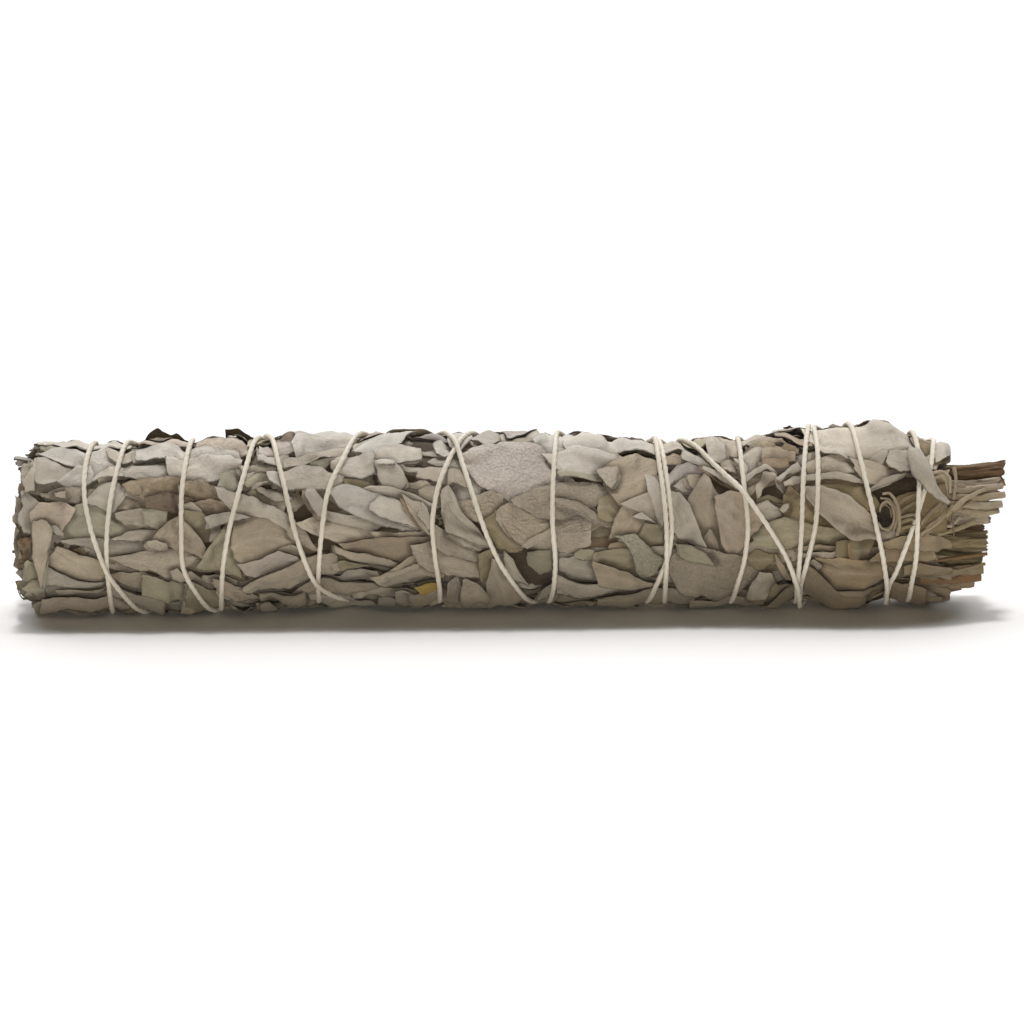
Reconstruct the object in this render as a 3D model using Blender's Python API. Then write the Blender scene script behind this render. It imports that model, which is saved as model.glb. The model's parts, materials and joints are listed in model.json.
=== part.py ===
# A dried white sage smudge stick, lying on a table.
# Pressed leafy sprigs lie lengthwise round a bunch of woody stems, bound by one cotton string.
# The stick lies along X: leaf tips at -X, cut stems at +X. It rests on z = 0.
# Lengths below are in millimetres; MM turns them into Blender's metres where a mesh is made.
import math
import random

import bmesh
import bpy
import numpy as np

MM = 0.001

# Overall form: (x, height of the middle above the table, radius), from the leaf end to the stems
BUNDLE = [
    (-114, 19.6, 17.5), (-104, 19.6, 19.2), (-80, 19.5, 19.7), (-66, 19.8, 19.8), (-54, 20.5, 19.4),
    (-42, 21.5, 19.1), (-26, 21.8, 19.0), (-14, 21.2, 19.5), (0, 21.0, 19.4), (10, 21.2, 19.6),
    (22, 20.3, 18.7), (34, 19.9, 18.4), (46, 20.2, 18.6), (56, 20.0, 18.9), (64, 20.3, 20.2),
    (76, 21.0, 21.0), (85, 21.5, 20.9), (92, 20.9, 19.4), (98, 19.9, 17.9), (104, 19.0, 16.0),
    (114, 19.4, 14.6),
]
LEAF_END_X = -114.0
STEM_END_X = 114.0
TABLE_STEP = 0.5  # spacing of the smoothed form table
FORM_SMOOTHING = 3.0  # how far the form is blurred along X

# Two stretches of the underside are pressed flat and carry the stick
REST_SPANS = [(-94.0, -66.0), (60.0, 80.0)]
REST_BULGE = 1.0  # how far the core would pass the outline before the table cuts it flat

# Cotton string
STRING_RADIUS = 0.575
STRING_GAP = 0.2  # clearance between string and leaves
STRING_SIDES = 5
STRING_INSET = 0.1  # the string's middle lies this far inside the outline
STRING_TABLE_GAP = 0.05
ROUTE_SMOOTHING = 7.0  # degrees over which the winding is smoothed
CROSSING_PITCH = 1.6  # distance between the middles of two turns where they cross
CROSSING_SLOPE = 0.35  # steepest rise of the string towards a crossing
CROSSING_SINK = 0.3  # share of a crossing's height that is pressed into the leaves
CROSSING_ROUNDS = 3
SINK_FALLOFF = 0.3  # how fast the pressed hollow rises beside a crossing
UNDERSIDE = 0.2  # share of straight down from which a place counts as underneath
UNDERSIDE_START = 0.6
UNDERSIDE_STEEPNESS = 2.2
SAME_TURN = 7.0  # places nearer than this along the string aren't a crossing
PATH_STEP = 0.8
PATH_TOLERANCE = 0.3  # how far the straight pieces of the string may leave its smooth path
PATH_MOST_STEPS = 16
VIEW_TILT = 12.0  # the angles below are counted from a line this far above the horizontal

# x of each strand across the front at seven angles, in the order in which it was wound:
# from the stems to the leaf tips and back
STRAND_ANGLES = (90, 45, 20, -5, -30, -55, -90)
STRANDS = [
    (97.5, 96.7, 95.0, 92.5, 89.5, 86.7, 86.0),
    (92.4, 93.8, 93.6, 93.1, 92.9, 91.7, 91.1),
    (69.7, 70.6, 70.5, 70.0, 67.8, 66.5, 66.5),
    (68.8, 67.6, 67.0, 66.7, 66.1, 65.6, 65.6),
    (52.3, 53.1, 53.7, 54.6, 53.6, 51.7, 50.5),
    (34.2, 35.5, 36.4, 37.2, 36.1, 33.1, 31.2),
    (11.0, 10.4, 9.9, 9.7, 10.5, 10.0, 8.7),
    (-8.5, -13.5, -16.5, -17.9, -17.1, -16.1, -16.1),
    (-33.7, -37.7, -41.5, -42.8, -43.6, -44.0, -43.8),
    (-57.4, -59.8, -61.9, -64.3, -65.7, -66.1, -66.3),
    (-87.2, -89.4, -91.1, -92.1, -92.2, -91.5, -91.1),
    (-95.0, -97.0, -97.3, -95.5, -92.4, -88.2, -83.3),
    (-72.3, -74.1, -75.0, -75.0, -75.0, -71.3, -67.4),
    (-54.8, -52.9, -51.1, -49.4, -47.0, -44.2, -36.9),
    (-14.7, -11.2, -8.9, -6.2, -2.8, 1.4, 5.5),
    (33.3, 34.2, 35.2, 35.9, 35.8, 35.5, 35.3),
    (39.0, 46.1, 53.3, 59.1, 64.0, 66.1, 66.3),
    (77.8, 79.7, 81.4, 83.5, 85.3, 86.3, 86.0),
]
KNOT_X = 89.5
KNOT_ANGLE = 205.0  # on the far side, a little below the middle
KNOT_SIZE = (2.3, 1.7, 1.5)  # half sizes along X, round the stick and outwards
KNOT_LIFT = 0.35
KNOT_SHIFT = 0.5
TAILS = (("tail_down", -1, 7.0125), ("tail_up", 1, 9.35))  # name, way round the stick, reach along it
TAIL_POINTS = 5
TAIL_START = 3.0  # degrees round the stick from the knot's middle
TAIL_TURN = 16.0
TAIL_LIFT = 0.75
TAIL_ARCH = 0.8
TAIL_ARCH_TURN = 2.6

# Leafy sprigs, side by side round the stick
SPRIG_COUNT = 8
SPRIG_SEEDS = (140, 141, 142, 103, 104, 165, 186, 157)
SPRIG_GAP = 0.36
SPRIG_WAVE = 8.0  # degrees by which the line between two sprigs wanders
SPRIG_WAVE_LENGTH = 70.0
SPRIG_TWIST = 14.0  # degrees from end to end
CORE_DEPTH = 3.3  # the core lies this far below the outline, and the leaves stand out of it
CORE_STEP = 11.0
CORE_ARC_POINTS = 4
CORE_LEAF_END = -103.0
CORE_STEM_END = 96.0
CORE_LEAF_END_RAGGED = (-1.5, 1.5)
CORE_STEM_END_RAGGED = (-1.5, 1.0)
CORE_TAPER = 0.10  # share by which the core narrows over its last stretch
CORE_TAPER_REACH = 9
HEART_RADIUS = 1.3  # the sprigs leave this much open along the axis past the ends of the stems
HEART_REACH = 6

# Leaves
LEAF_ROWS = 6
LEAF_COLUMNS = 3
LEAF_LENGTH = (28.0, 37.0)
LEAF_WIDTH = (7.5, 10.5)
LEAF_ROOT_DEPTH = 0.9  # the undersides of leaves are sunk this far in the core
LEAF_RIDGE = 0.25  # how far the midrib stands above the edges
LEAF_HEART_GAP = 0.15
LEAF_FORM = (  # share of the length from the root, share of the width, height above the core
    (0.0, 0.0, -0.7),
    (0.36, 1.0, 0.4),
    (0.74, 0.84, 1.6),
    (1.0, 0.0, 2.0),
)
LEAF_TOP_LIMIT = 0.95  # leaves stay this far inside the outline
LEAF_MARGIN = (1.1, 1.5)  # distance of leaf edges from the next sprig
LEAF_MIDRIB_MARGIN = 2.2
LEAF_LIFT = (-0.35, 0.35)
LEAF_YAW = 24.0
LEAF_SPLAY = 4  # extra degrees by which the outer columns of a sprig lean out
LEAF_ROLL = 0.3
LEAF_SHIFT = (3.4, 5.0)  # how far the outer columns lie from the middle of their sprig
LEAF_SHIFT_DRAW = 0.8
LEAF_PLACE_DRAW = 0.15
LEAF_FIRST_ROOT = 24.0  # the first leaf's root, from the leaf end
LEAF_LAST_ROOT = 15.0  # the last one's, from the stem end
LEAF_TIP_CLEARANCE = 0.4

# Leaves that stand out past the core at the ragged end
END_LEAF_DEPTHS = (1.2, 6.5, 11.5)  # below the outline
END_LEAF_DEPTH_DRAW = 0.6
END_LEAF_ROOT = 8  # how far the roots lie inside the core
END_LEAF_TIPS = (0.3, 5.0)  # how far the tips stay from the leaf end
END_LEAF_HALF_WIDTH = 5.0
END_LEAF_WIDTHS = (0.75, 0.95)
END_LEAF_SHARES = (0.9, 1.0, 0.55)  # of the width, at the root, half way and at the tip
END_LEAF_SIDE_ANGLE = 5.0  # degrees kept free beside the next sprig
END_LEAF_BEND = 1.0
END_LEAF_THICKNESS = 1.0
END_LEAF_DROOP = 0.5

# Woody stems: one in the middle and two rings round it
STEM_RINGS = ((0.0, 1, 2.8), (6.0, 6, 2.45), (11.6, 11, 2.7))  # ring radius, count, stem radius
STEM_SIDES = 6
STEM_RING_START = 87.0  # angle of the first stem of each ring
STEM_SPREAD = ((-114, 0.36), (30, 0.36), (45, 0.42), (65, 0.57), (85, 0.76), (98, 0.89), (114, 1.0))
STEM_LENGTHS = (70.0, 120.0)
STEM_CLEARANCE = 0.7  # between the bunch of stems and the leafy sprigs
STEM_SEED = 77
STEM_THICKNESS = (0.9, 1.06)
STEM_THICKEST = 1.08
STEM_WAVE = 2.0  # degrees by which a stem wanders round the stick
STEM_WAVE_LENGTH = 17.0
STEM_START_SHARE = 0.8  # thickness of the hidden end
STEM_MIDDLE_SHARES = (0.95, 1.0)
STEM_COLLAR_SHARE = 1.04  # just before the cut
STEM_COLLAR = 2.2
STEM_CUT_SHARE = 0.82
STEM_CUT_SLANT = 0.5
STEM_CUT_DEPTH = 1.0  # points nearer the end than this belong to the cut face
STEM_CUT_BACK = 0.6
STEM_BEND_MARGINS = (5, 8)  # no bend nearer than this to the hidden end and to the cut
STEM_COLOURS = ("bark", "tan", "tan", "olive", "olive", "bark")
OUTER_STEM_ENDS = (114.0, 112.5, 110.5, 109.5, 108.5, 106.5)  # the six on the near side
OTHER_STEM_ENDS = (104.0, 110.5)

TABLE_REACH = (130.0, 30.0, 12.0)  # half length, half width and depth of the block cut away below

COLOURS = {
    "cotton": ((0.72, 0.67, 0.58), 0.9),
    "sage": ((0.37, 0.36, 0.30), 0.95),
    "bark": ((0.20, 0.13, 0.08), 0.9),
    "tan": ((0.40, 0.31, 0.21), 0.9),
    "olive": ((0.30, 0.27, 0.16), 0.9),
}


# Form of the stick


def blurred(values, reach):
    width = int(reach * 2.5)
    kernel = np.exp(-0.5 * (np.arange(-width, width + 1) / reach) ** 2)
    padded = np.pad(values, width, mode="edge")
    return np.convolve(padded, kernel / kernel.sum(), mode="valid")


form_x = np.arange(LEAF_END_X, STEM_END_X + TABLE_STEP, TABLE_STEP)
form_rows = np.array(BUNDLE, float)
form_height = blurred(np.interp(form_x, form_rows[:, 0], form_rows[:, 1]), FORM_SMOOTHING / TABLE_STEP)
form_radius = blurred(np.interp(form_x, form_rows[:, 0], form_rows[:, 2]), FORM_SMOOTHING / TABLE_STEP)


def height_at(x):
    return np.interp(x, form_x, form_height)


def radius_at(x):
    return np.interp(x, form_x, form_radius)


def on_stick(x, angle, radius):
    # angle 0 faces the viewer at -Y, 90 is the top
    turn = np.radians(angle)
    return np.stack([x, -radius * np.cos(turn), height_at(x) + radius * np.sin(turn)], axis=-1)


def sprig_edge(number, x):
    wander = math.sin(2 * math.pi * x / SPRIG_WAVE_LENGTH + 1.9 * (number % SPRIG_COUNT))
    middle_turn = 360.0 / SPRIG_COUNT * (number - 0.5) - 90.0
    return middle_turn + SPRIG_TWIST * x / (STEM_END_X - LEAF_END_X) + SPRIG_WAVE * wander


def rest_share(x):
    # 1 over the two stretches that carry the stick, fading to 0 beside them
    return max(min((x - low) / 4, (high - x) / 4, 1.0) for low, high in REST_SPANS)


def stem_spread(x):
    return np.interp(x, [row[0] for row in STEM_SPREAD], [row[1] for row in STEM_SPREAD])


def heart_radius(x):
    if x < STEM_END_X - STEM_LENGTHS[1] - HEART_REACH - CORE_STEP:
        return HEART_RADIUS
    ring_radius, _, stem_radius = STEM_RINGS[-1]
    return (ring_radius + stem_radius * STEM_THICKEST) * stem_spread(x) + STEM_CLEARANCE


# Making objects


def material(name):
    found = bpy.data.materials.get(name)
    if found:
        return found
    colour, roughness = COLOURS[name]
    made = bpy.data.materials.new(name)
    made.use_nodes = True
    shader = made.node_tree.nodes["Principled BSDF"]
    shader.inputs["Base Color"].default_value = (*colour, 1.0)
    shader.inputs["Roughness"].default_value = roughness
    shader.inputs["Metallic"].default_value = 0.0
    made.diffuse_color = (*colour, 1.0)
    return made


def add_object(name, points, faces, colour, collection=None):
    mesh = bpy.data.meshes.new(name)
    mesh.from_pydata([tuple(float(c) * MM for c in point) for point in points], [], faces)
    shape = bmesh.new()
    shape.from_mesh(mesh)
    bmesh.ops.triangulate(shape, faces=shape.faces[:])
    bmesh.ops.recalc_face_normals(shape, faces=shape.faces[:])
    if shape.calc_volume(signed=True) < 0:
        bmesh.ops.reverse_faces(shape, faces=shape.faces[:])
    shape.to_mesh(mesh)
    shape.free()
    mesh.materials.append(material(colour))
    made = bpy.data.objects.new(name, mesh)
    (collection or bpy.context.scene.collection).objects.link(made)
    return made


def apply_boolean(target, operation, operand, solver="EXACT"):
    # operand is an object, or a collection whose objects are removed afterwards
    joined = isinstance(operand, bpy.types.Collection)
    cut = target.modifiers.new(operation.lower(), "BOOLEAN")
    cut.operation = operation
    cut.solver = solver
    cut.operand_type = "COLLECTION" if joined else "OBJECT"
    if joined:
        cut.collection = operand
    else:
        cut.object = operand
    graph = bpy.context.evaluated_depsgraph_get()
    result = bpy.data.meshes.new_from_object(target.evaluated_get(graph))
    target.modifiers.remove(cut)
    old = target.data
    target.data = result
    bpy.data.meshes.remove(old)
    if joined:
        for item in list(operand.objects):
            bpy.data.objects.remove(item)
        bpy.data.collections.remove(operand)


def keep_main_body(target):
    # drops loose scraps and the shells of hollows that the union sealed
    shape = bmesh.new()
    shape.from_mesh(target.data)
    unseen = set(shape.verts)
    bodies = []
    while unseen:
        front = [unseen.pop()]
        body = set(front)
        while front:
            near = {edge.other_vert(vert) for vert in front for edge in vert.link_edges} - body
            body |= near
            unseen -= near
            front = list(near)
        bodies.append(body)
    main = max(bodies, key=len)
    bmesh.ops.delete(shape, geom=[vert for body in bodies if body is not main for vert in body])
    bmesh.ops.triangulate(shape, faces=shape.faces[:])
    shape.to_mesh(target.data)
    shape.free()


# String


def string_base(x, angle):
    # where the middle of an uncrossed string lies; over the table it keeps above z = 0
    free = radius_at(x) - STRING_INSET
    down = -np.sin(np.radians(angle))
    over_table = (height_at(x) - STRING_RADIUS - STRING_TABLE_GAP) / np.maximum(down, UNDERSIDE)
    return np.where(down > UNDERSIDE, np.minimum(free, over_table), free)


def string_route():
    # x and unwound angle along the whole string, evenly spaced by length
    turns = [KNOT_ANGLE]
    places = [KNOT_X - 1.0]
    for number, strand in enumerate(STRANDS):
        for angle, x in zip(STRAND_ANGLES, strand):
            turns.append(angle + VIEW_TILT - 360.0 * number)
            places.append(x)
    turns.append(KNOT_ANGLE - 360.0 * len(STRANDS))
    places.append(KNOT_X)
    turn = np.arange(turns[0], turns[-1], -1.0)
    x = blurred(np.interp(-turn, -np.array(turns), places), ROUTE_SMOOTHING)
    point = on_stick(x, turn, string_base(x, turn))
    run = np.concatenate([[0], np.cumsum(np.linalg.norm(np.diff(point, axis=0), axis=1))])
    even = np.arange(0, run[-1], PATH_STEP)
    return np.interp(even, run, x), np.interp(even, run, turn)


def crossing_heights(x, turn):
    # a later turn passes over an earlier one in a low hump
    count = len(x)
    apart = int(SAME_TURN / PATH_STEP)
    rise = np.zeros(count)
    radius = radius_at(x)
    distance = []
    for j in range(count):
        around = (turn - turn[j] + 180) % 360 - 180
        distance.append(np.hypot(x - x[j], np.radians(around) * radius))
    for _ in range(CROSSING_ROUNDS):
        for j in range(apart, count):
            near = np.flatnonzero(distance[j][: j - apart] < CROSSING_PITCH)
            if len(near):
                over = np.sqrt(CROSSING_PITCH**2 - distance[j][near] ** 2)
                rise[j] = max(rise[j], (rise[near] + over).max())
        for j in range(1, count):
            rise[j] = max(rise[j], rise[j - 1] - CROSSING_SLOPE * PATH_STEP)
        for j in range(count - 2, -1, -1):
            rise[j] = max(rise[j], rise[j + 1] - CROSSING_SLOPE * PATH_STEP)
    # the whole crossing is pressed into the leaves, fully so over the table
    low = np.clip(-np.sin(np.radians(turn)) * UNDERSIDE_STEEPNESS - UNDERSIDE_START, 0, 1)
    share = CROSSING_SINK + (1 - CROSSING_SINK) * low
    sink = np.array([(share * rise - SINK_FALLOFF * distance[j]).max() for j in range(count)])
    return rise - np.maximum(sink, 0)


def thinned(points, tolerance):
    # the fewest points whose straight joins stay within the tolerance
    keep = [0]
    while keep[-1] < len(points) - 1:
        start = keep[-1]
        end = start + 1
        while end + 1 < len(points) and end - start < PATH_MOST_STEPS:
            run = points[start : end + 2]
            along = run[-1] - run[0]
            off = np.cross(run - run[0], along / np.linalg.norm(along))
            if np.linalg.norm(off, axis=1).max() > tolerance:
                break
            end += 1
        keep.append(end)
    return points[keep]


def tube(name, points, radii, sides, colour):
    # a closed tube along the points; radii is one number or one for each point
    points = np.asarray(points, float)
    radii = np.broadcast_to(radii, len(points))
    along = np.gradient(points, axis=0)
    along /= np.linalg.norm(along, axis=1)[:, None]
    side = np.cross(along[0], (0.31, 0.87, 0.38))
    rings = []
    for point, direction, radius in zip(points, along, radii):
        side = side - direction * side.dot(direction)
        side /= np.linalg.norm(side)
        other = np.cross(direction, side)
        for k in range(sides):
            turn = 2 * math.pi * k / sides
            rings.append(point + radius * (math.cos(turn) * side + math.sin(turn) * other))
    faces = [tuple(range(sides)), tuple(range(len(rings) - sides, len(rings)))]
    for ring in range(len(points) - 1):
        for k in range(sides):
            a = ring * sides + k
            b = ring * sides + (k + 1) % sides
            faces.append((a, b, b + sides, a + sides))
    return add_object(name, rings, faces, colour)


def ellipsoid(name, centre, axes, colour, collection):
    shape = bmesh.new()
    bmesh.ops.create_icosphere(shape, subdivisions=2, radius=1.0)
    points = [centre + axes.T @ np.array(vert.co) for vert in shape.verts]
    faces = [tuple(vert.index for vert in face.verts) for face in shape.faces]
    shape.free()
    return add_object(name, points, faces, colour, collection)


def build_string():
    x, turn = string_route()
    heights = crossing_heights(x, turn)
    points = thinned(on_stick(x, turn, string_base(x, turn) + heights), PATH_TOLERANCE)
    string = tube("cotton_string", points, STRING_RADIUS, STRING_SIDES, "cotton")
    groove = tube("string_groove", points, STRING_RADIUS + STRING_GAP, STRING_SIDES, "cotton")

    # the two ends meet in a small knot on the far side, and leave it as two short tails
    outward = on_stick(KNOT_X, KNOT_ANGLE, 1.0) - on_stick(KNOT_X, KNOT_ANGLE, 0.0)
    around = np.cross((1.0, 0.0, 0.0), outward)
    knot_radius = float(string_base(KNOT_X, KNOT_ANGLE)) + KNOT_LIFT
    centre = on_stick(KNOT_X - KNOT_SHIFT, KNOT_ANGLE, knot_radius)
    axes = np.array([(1.0, 0.0, 0.0), around, outward]) * np.array(KNOT_SIZE)[:, None]
    parts = bpy.data.collections.new("knot")
    ellipsoid("knot_lump", centre, axes, "cotton", parts)
    for tail_name, way, reach in TAILS:
        steps = np.linspace(0, 1, TAIL_POINTS)
        tail_x = KNOT_X - KNOT_SHIFT + steps * reach
        tail_turn = KNOT_ANGLE + way * steps * TAIL_TURN + TAIL_START
        tail_radius = radius_at(tail_x) + TAIL_LIFT + TAIL_ARCH * np.sin(steps * TAIL_ARCH_TURN)
        tail_points = on_stick(tail_x, tail_turn, tail_radius)
        piece = tube(tail_name, tail_points, STRING_RADIUS, STRING_SIDES, "cotton")
        bpy.context.scene.collection.objects.unlink(piece)
        parts.objects.link(piece)
    apply_boolean(string, "UNION", parts)
    keep_main_body(string)
    return string, groove


# Leafy sprigs


def core_ring(number, x):
    # one cross section of a sprig's core: outer arc, then the inner one back
    taper = 1.0 - CORE_TAPER * max(0.0, (CORE_LEAF_END + CORE_TAPER_REACH - x) / CORE_TAPER_REACH)
    outer = (float(radius_at(x)) - CORE_DEPTH) * taper
    low = sprig_edge(number, x)
    high = sprig_edge(number + 1, x)
    inner = float(heart_radius(x)) / math.cos(math.radians(high - low) / 4)
    carries = rest_share(x) if number == 0 else 0.0
    ring = []
    steps = CORE_ARC_POINTS - 1
    for k in range(CORE_ARC_POINTS):
        bulge = (CORE_DEPTH + REST_BULGE) * max(carries, 0.0) * (0 < k < steps)
        ring.append((k / steps, outer + bulge))
    ring += [(1.0, inner), (0.5, inner), (0.0, inner)]
    points = []
    for share, radius in ring:
        angle = low + (high - low) * share
        inward = (share == 0.0) - (share == 1.0)
        turn = math.radians(angle)
        across = np.array((0.0, math.sin(turn), math.cos(turn)))
        points.append(on_stick(x, angle, radius) + across * inward * SPRIG_GAP / 2)
    return points


def build_core(number, rng):
    count = round((CORE_STEM_END - CORE_LEAF_END) / CORE_STEP) + 1
    places = np.linspace(CORE_LEAF_END, CORE_STEM_END, count)
    places[0] += rng.uniform(*CORE_LEAF_END_RAGGED)
    places[-1] += rng.uniform(*CORE_STEM_END_RAGGED)
    points = []
    for x in places:
        points.extend(core_ring(number, float(x)))
    size = CORE_ARC_POINTS + 3
    faces = [tuple(range(size)), tuple(range(len(points) - size, len(points)))]
    for ring in range(count - 1):
        for k in range(size):
            a = ring * size + k
            b = ring * size + (k + 1) % size
            faces.append((a, b, b + size, a + size))
    return add_object(f"leafy_sprig_{number + 1}", points, faces, "sage")


def leaf_point(number, x, shift, height, margin):
    # a point of a leaf, kept inside its sprig and below the outline
    outline = float(radius_at(min(max(x, LEAF_END_X), STEM_END_X)))
    radius = outline - CORE_DEPTH + min(height, CORE_DEPTH - LEAF_TOP_LIMIT)
    radius = max(radius, heart_radius(x) + LEAF_HEART_GAP)
    room = math.degrees((SPRIG_GAP / 2 + margin) / radius)
    low = sprig_edge(number, x) + room
    high = sprig_edge(number + 1, x) - room
    angle = (low + high) / 2 + math.degrees(shift / radius)
    return on_stick(x, min(max(angle, low), high), radius)


def add_leaf(number, x_root, shift, yaw, length, width, lift, roll, margin, parts, name):
    # a low blade whose root and underside are sunk in the core; top and bottom are split alike
    turn = math.radians(yaw)
    top = []
    bottom = []
    for along, wide, height in LEAF_FORM:
        sides = (-1, 0, 1) if wide else (0,)
        for side in sides:
            half = side * wide * width / 2
            x = x_root - along * length * math.cos(turn) + half * math.sin(turn)
            x = max(x, LEAF_END_X + LEAF_TIP_CLEARANCE)
            across = shift + along * length * math.sin(turn) + half * math.cos(turn)
            rise = height + lift + LEAF_RIDGE * (side == 0) + roll * side
            rise = min(rise, CORE_DEPTH - LEAF_TOP_LIMIT)
            inside = margin if side else LEAF_MIDRIB_MARGIN
            top.append(leaf_point(number, x, across, rise, inside))
            bottom.append(leaf_point(number, x, across, -LEAF_ROOT_DEPTH, inside))
    faces = [(0, 2, 1), (0, 3, 2), (1, 2, 5), (1, 5, 4), (2, 3, 6), (2, 6, 5), (4, 5, 7), (5, 6, 7)]
    rim = [0, 1, 4, 7, 6, 3]
    size = len(top)
    faces += [tuple(size + index for index in reversed(face)) for face in faces]
    for k, index in enumerate(rim):
        following = rim[(k + 1) % len(rim)]
        faces.append((index, following, following + size, index + size))
    add_object(name, top + bottom, faces, "sage", parts)


def add_end_leaf(number, depth, rng, parts, name):
    # a leaf of the ragged end, standing out past the core
    root = CORE_LEAF_END + END_LEAF_ROOT
    tip = LEAF_END_X + rng.uniform(*END_LEAF_TIPS)
    middle = (sprig_edge(number, root) + sprig_edge(number + 1, root)) / 2
    radius = float(radius_at(root)) - depth
    room = radius * math.radians(180.0 / SPRIG_COUNT - END_LEAF_SIDE_ANGLE)
    half = min(room, END_LEAF_HALF_WIDTH) * rng.uniform(*END_LEAF_WIDTHS)
    bend = rng.uniform(-END_LEAF_BEND, END_LEAF_BEND)
    points = []
    for x, share in zip((root, (root + tip) / 2, tip), END_LEAF_SHARES):
        sag = bend * (root - x) / (root - tip)
        for thick in (0.0, -END_LEAF_THICKNESS):
            for side in (-1, 0, 1):
                angle = middle + math.degrees(side * half * share / radius)
                points.append(on_stick(x, angle, radius + thick + sag - END_LEAF_DROOP * abs(side)))
    faces = [(0, 1, 4, 3), (1, 2, 5, 4), (12, 13, 16, 15), (13, 14, 17, 16)]
    for ring in (0, 6):
        loop = [ring, ring + 1, ring + 2, ring + 5, ring + 4, ring + 3]
        for k in range(6):
            a = loop[k]
            b = loop[(k + 1) % 6]
            faces.append((a, b, b + 6, a + 6))
    add_object(name, points, faces, "sage", parts)


def build_sprig(number, groove, table):
    rng = random.Random(SPRIG_SEEDS[number])
    sprig = build_core(number, rng)
    parts = bpy.data.collections.new("leaves")
    first_root = LEAF_END_X + LEAF_FIRST_ROOT
    reach = STEM_END_X - LEAF_LAST_ROOT - first_root
    for row in range(LEAF_ROWS):
        for column in range(LEAF_COLUMNS):
            place_draw = rng.uniform(-LEAF_PLACE_DRAW, LEAF_PLACE_DRAW)
            share = (row + column / LEAF_COLUMNS + place_draw) / (LEAF_ROWS - 0.5)
            x_root = first_root + reach * min(max(share, 0.0), 1.0)
            side = (0, 1, -1)[column]
            shift = side * rng.uniform(*LEAF_SHIFT) + rng.uniform(-LEAF_SHIFT_DRAW, LEAF_SHIFT_DRAW)
            yaw = rng.uniform(-LEAF_YAW, LEAF_YAW) - side * LEAF_SPLAY
            length = rng.uniform(*LEAF_LENGTH)
            width = rng.uniform(*LEAF_WIDTH)
            lift = rng.uniform(*LEAF_LIFT)
            roll = rng.uniform(-LEAF_ROLL, LEAF_ROLL)
            margin = rng.uniform(*LEAF_MARGIN)
            name = f"leaf_{row}_{column}"
            add_leaf(number, x_root, shift, yaw, length, width, lift, roll, margin, parts, name)
    for middle_depth in END_LEAF_DEPTHS:
        depth = middle_depth + rng.uniform(-END_LEAF_DEPTH_DRAW, END_LEAF_DEPTH_DRAW)
        add_end_leaf(number, depth, rng, parts, f"end_leaf_{middle_depth}")
    # EXACT leaves some of these joins with open edges
    apply_boolean(sprig, "UNION", parts, "MANIFOLD")
    apply_boolean(sprig, "DIFFERENCE", groove, "MANIFOLD")
    if number == 0:
        apply_boolean(sprig, "DIFFERENCE", table, "MANIFOLD")
    keep_main_body(sprig)
    return sprig


# Woody stems


def build_stem(name, ring_radius, angle, stem_radius, end_x, colour, rng):
    # follows the spreading bunch, with a slightly frayed cut end
    start_x = end_x - rng.uniform(*STEM_LENGTHS)
    before, after = STEM_BEND_MARGINS
    bends = [x for x, _ in STEM_SPREAD if start_x + before < x < end_x - after]
    places = np.array([start_x, *bends, end_x - STEM_COLLAR, end_x])
    spread = stem_spread(places)
    wandering = angle + STEM_WAVE * np.sin(places / STEM_WAVE_LENGTH)
    points = on_stick(places, wandering, ring_radius * spread)
    middle_shares = [rng.uniform(*STEM_MIDDLE_SHARES) for _ in bends]
    shares = np.array([STEM_START_SHARE, *middle_shares, STEM_COLLAR_SHARE, STEM_CUT_SHARE])
    stem = tube(name, points, stem_radius * spread * shares, STEM_SIDES, colour)
    slant = rng.uniform(-STEM_CUT_SLANT, STEM_CUT_SLANT)
    for vert in stem.data.vertices:
        if vert.co.x > (end_x - STEM_CUT_DEPTH) * MM:
            vert.co.x += slant * (vert.co.z - float(points[-1][2]) * MM) - STEM_CUT_BACK * MM
    return stem


def build_stems():
    rng = random.Random(STEM_SEED)
    number = 0
    for ring_radius, count, stem_radius in STEM_RINGS:
        for k in range(count):
            number += 1
            outer = ring_radius == STEM_RINGS[-1][0]
            near = outer and k < len(OUTER_STEM_ENDS)
            end_x = OUTER_STEM_ENDS[k] if near else rng.uniform(*OTHER_STEM_ENDS)
            angle = STEM_RING_START - 360.0 * k / count
            colour = STEM_COLOURS[k % len(STEM_COLOURS)]
            radius = stem_radius * rng.uniform(*STEM_THICKNESS)
            name = f"woody_stem_{number:02d}"
            build_stem(name, ring_radius, angle, radius, end_x, colour, rng)


# Assembly


def build_table():
    # the space below the table, which cuts the flat resting spots
    reach, half_width, depth = TABLE_REACH
    points = [(x, y, z) for x in (-reach, reach) for y in (-half_width, half_width) for z in (-depth, 0.0)]
    faces = [(0, 1, 3, 2), (4, 6, 7, 5), (0, 4, 5, 1), (2, 3, 7, 6), (0, 2, 6, 4), (1, 5, 7, 3)]
    return add_object("table_space", points, faces, "sage")


def centre_on_origin():
    # the middle of the whole box goes over the origin
    corners = [vert.co for item in bpy.context.scene.objects for vert in item.data.vertices]
    middle_x = (min(c.x for c in corners) + max(c.x for c in corners)) / 2
    middle_y = (min(c.y for c in corners) + max(c.y for c in corners)) / 2
    for item in bpy.context.scene.objects:
        for vert in item.data.vertices:
            vert.co.x -= middle_x
            vert.co.y -= middle_y


def main():
    for item in list(bpy.data.objects):
        bpy.data.objects.remove(item)
    string, groove = build_string()
    table = build_table()
    for number in range(SPRIG_COUNT):
        build_sprig(number, groove, table)
    build_stems()
    bpy.data.objects.remove(groove)
    bpy.data.objects.remove(table)
    string.data.shade_smooth()
    centre_on_origin()


main()
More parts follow.
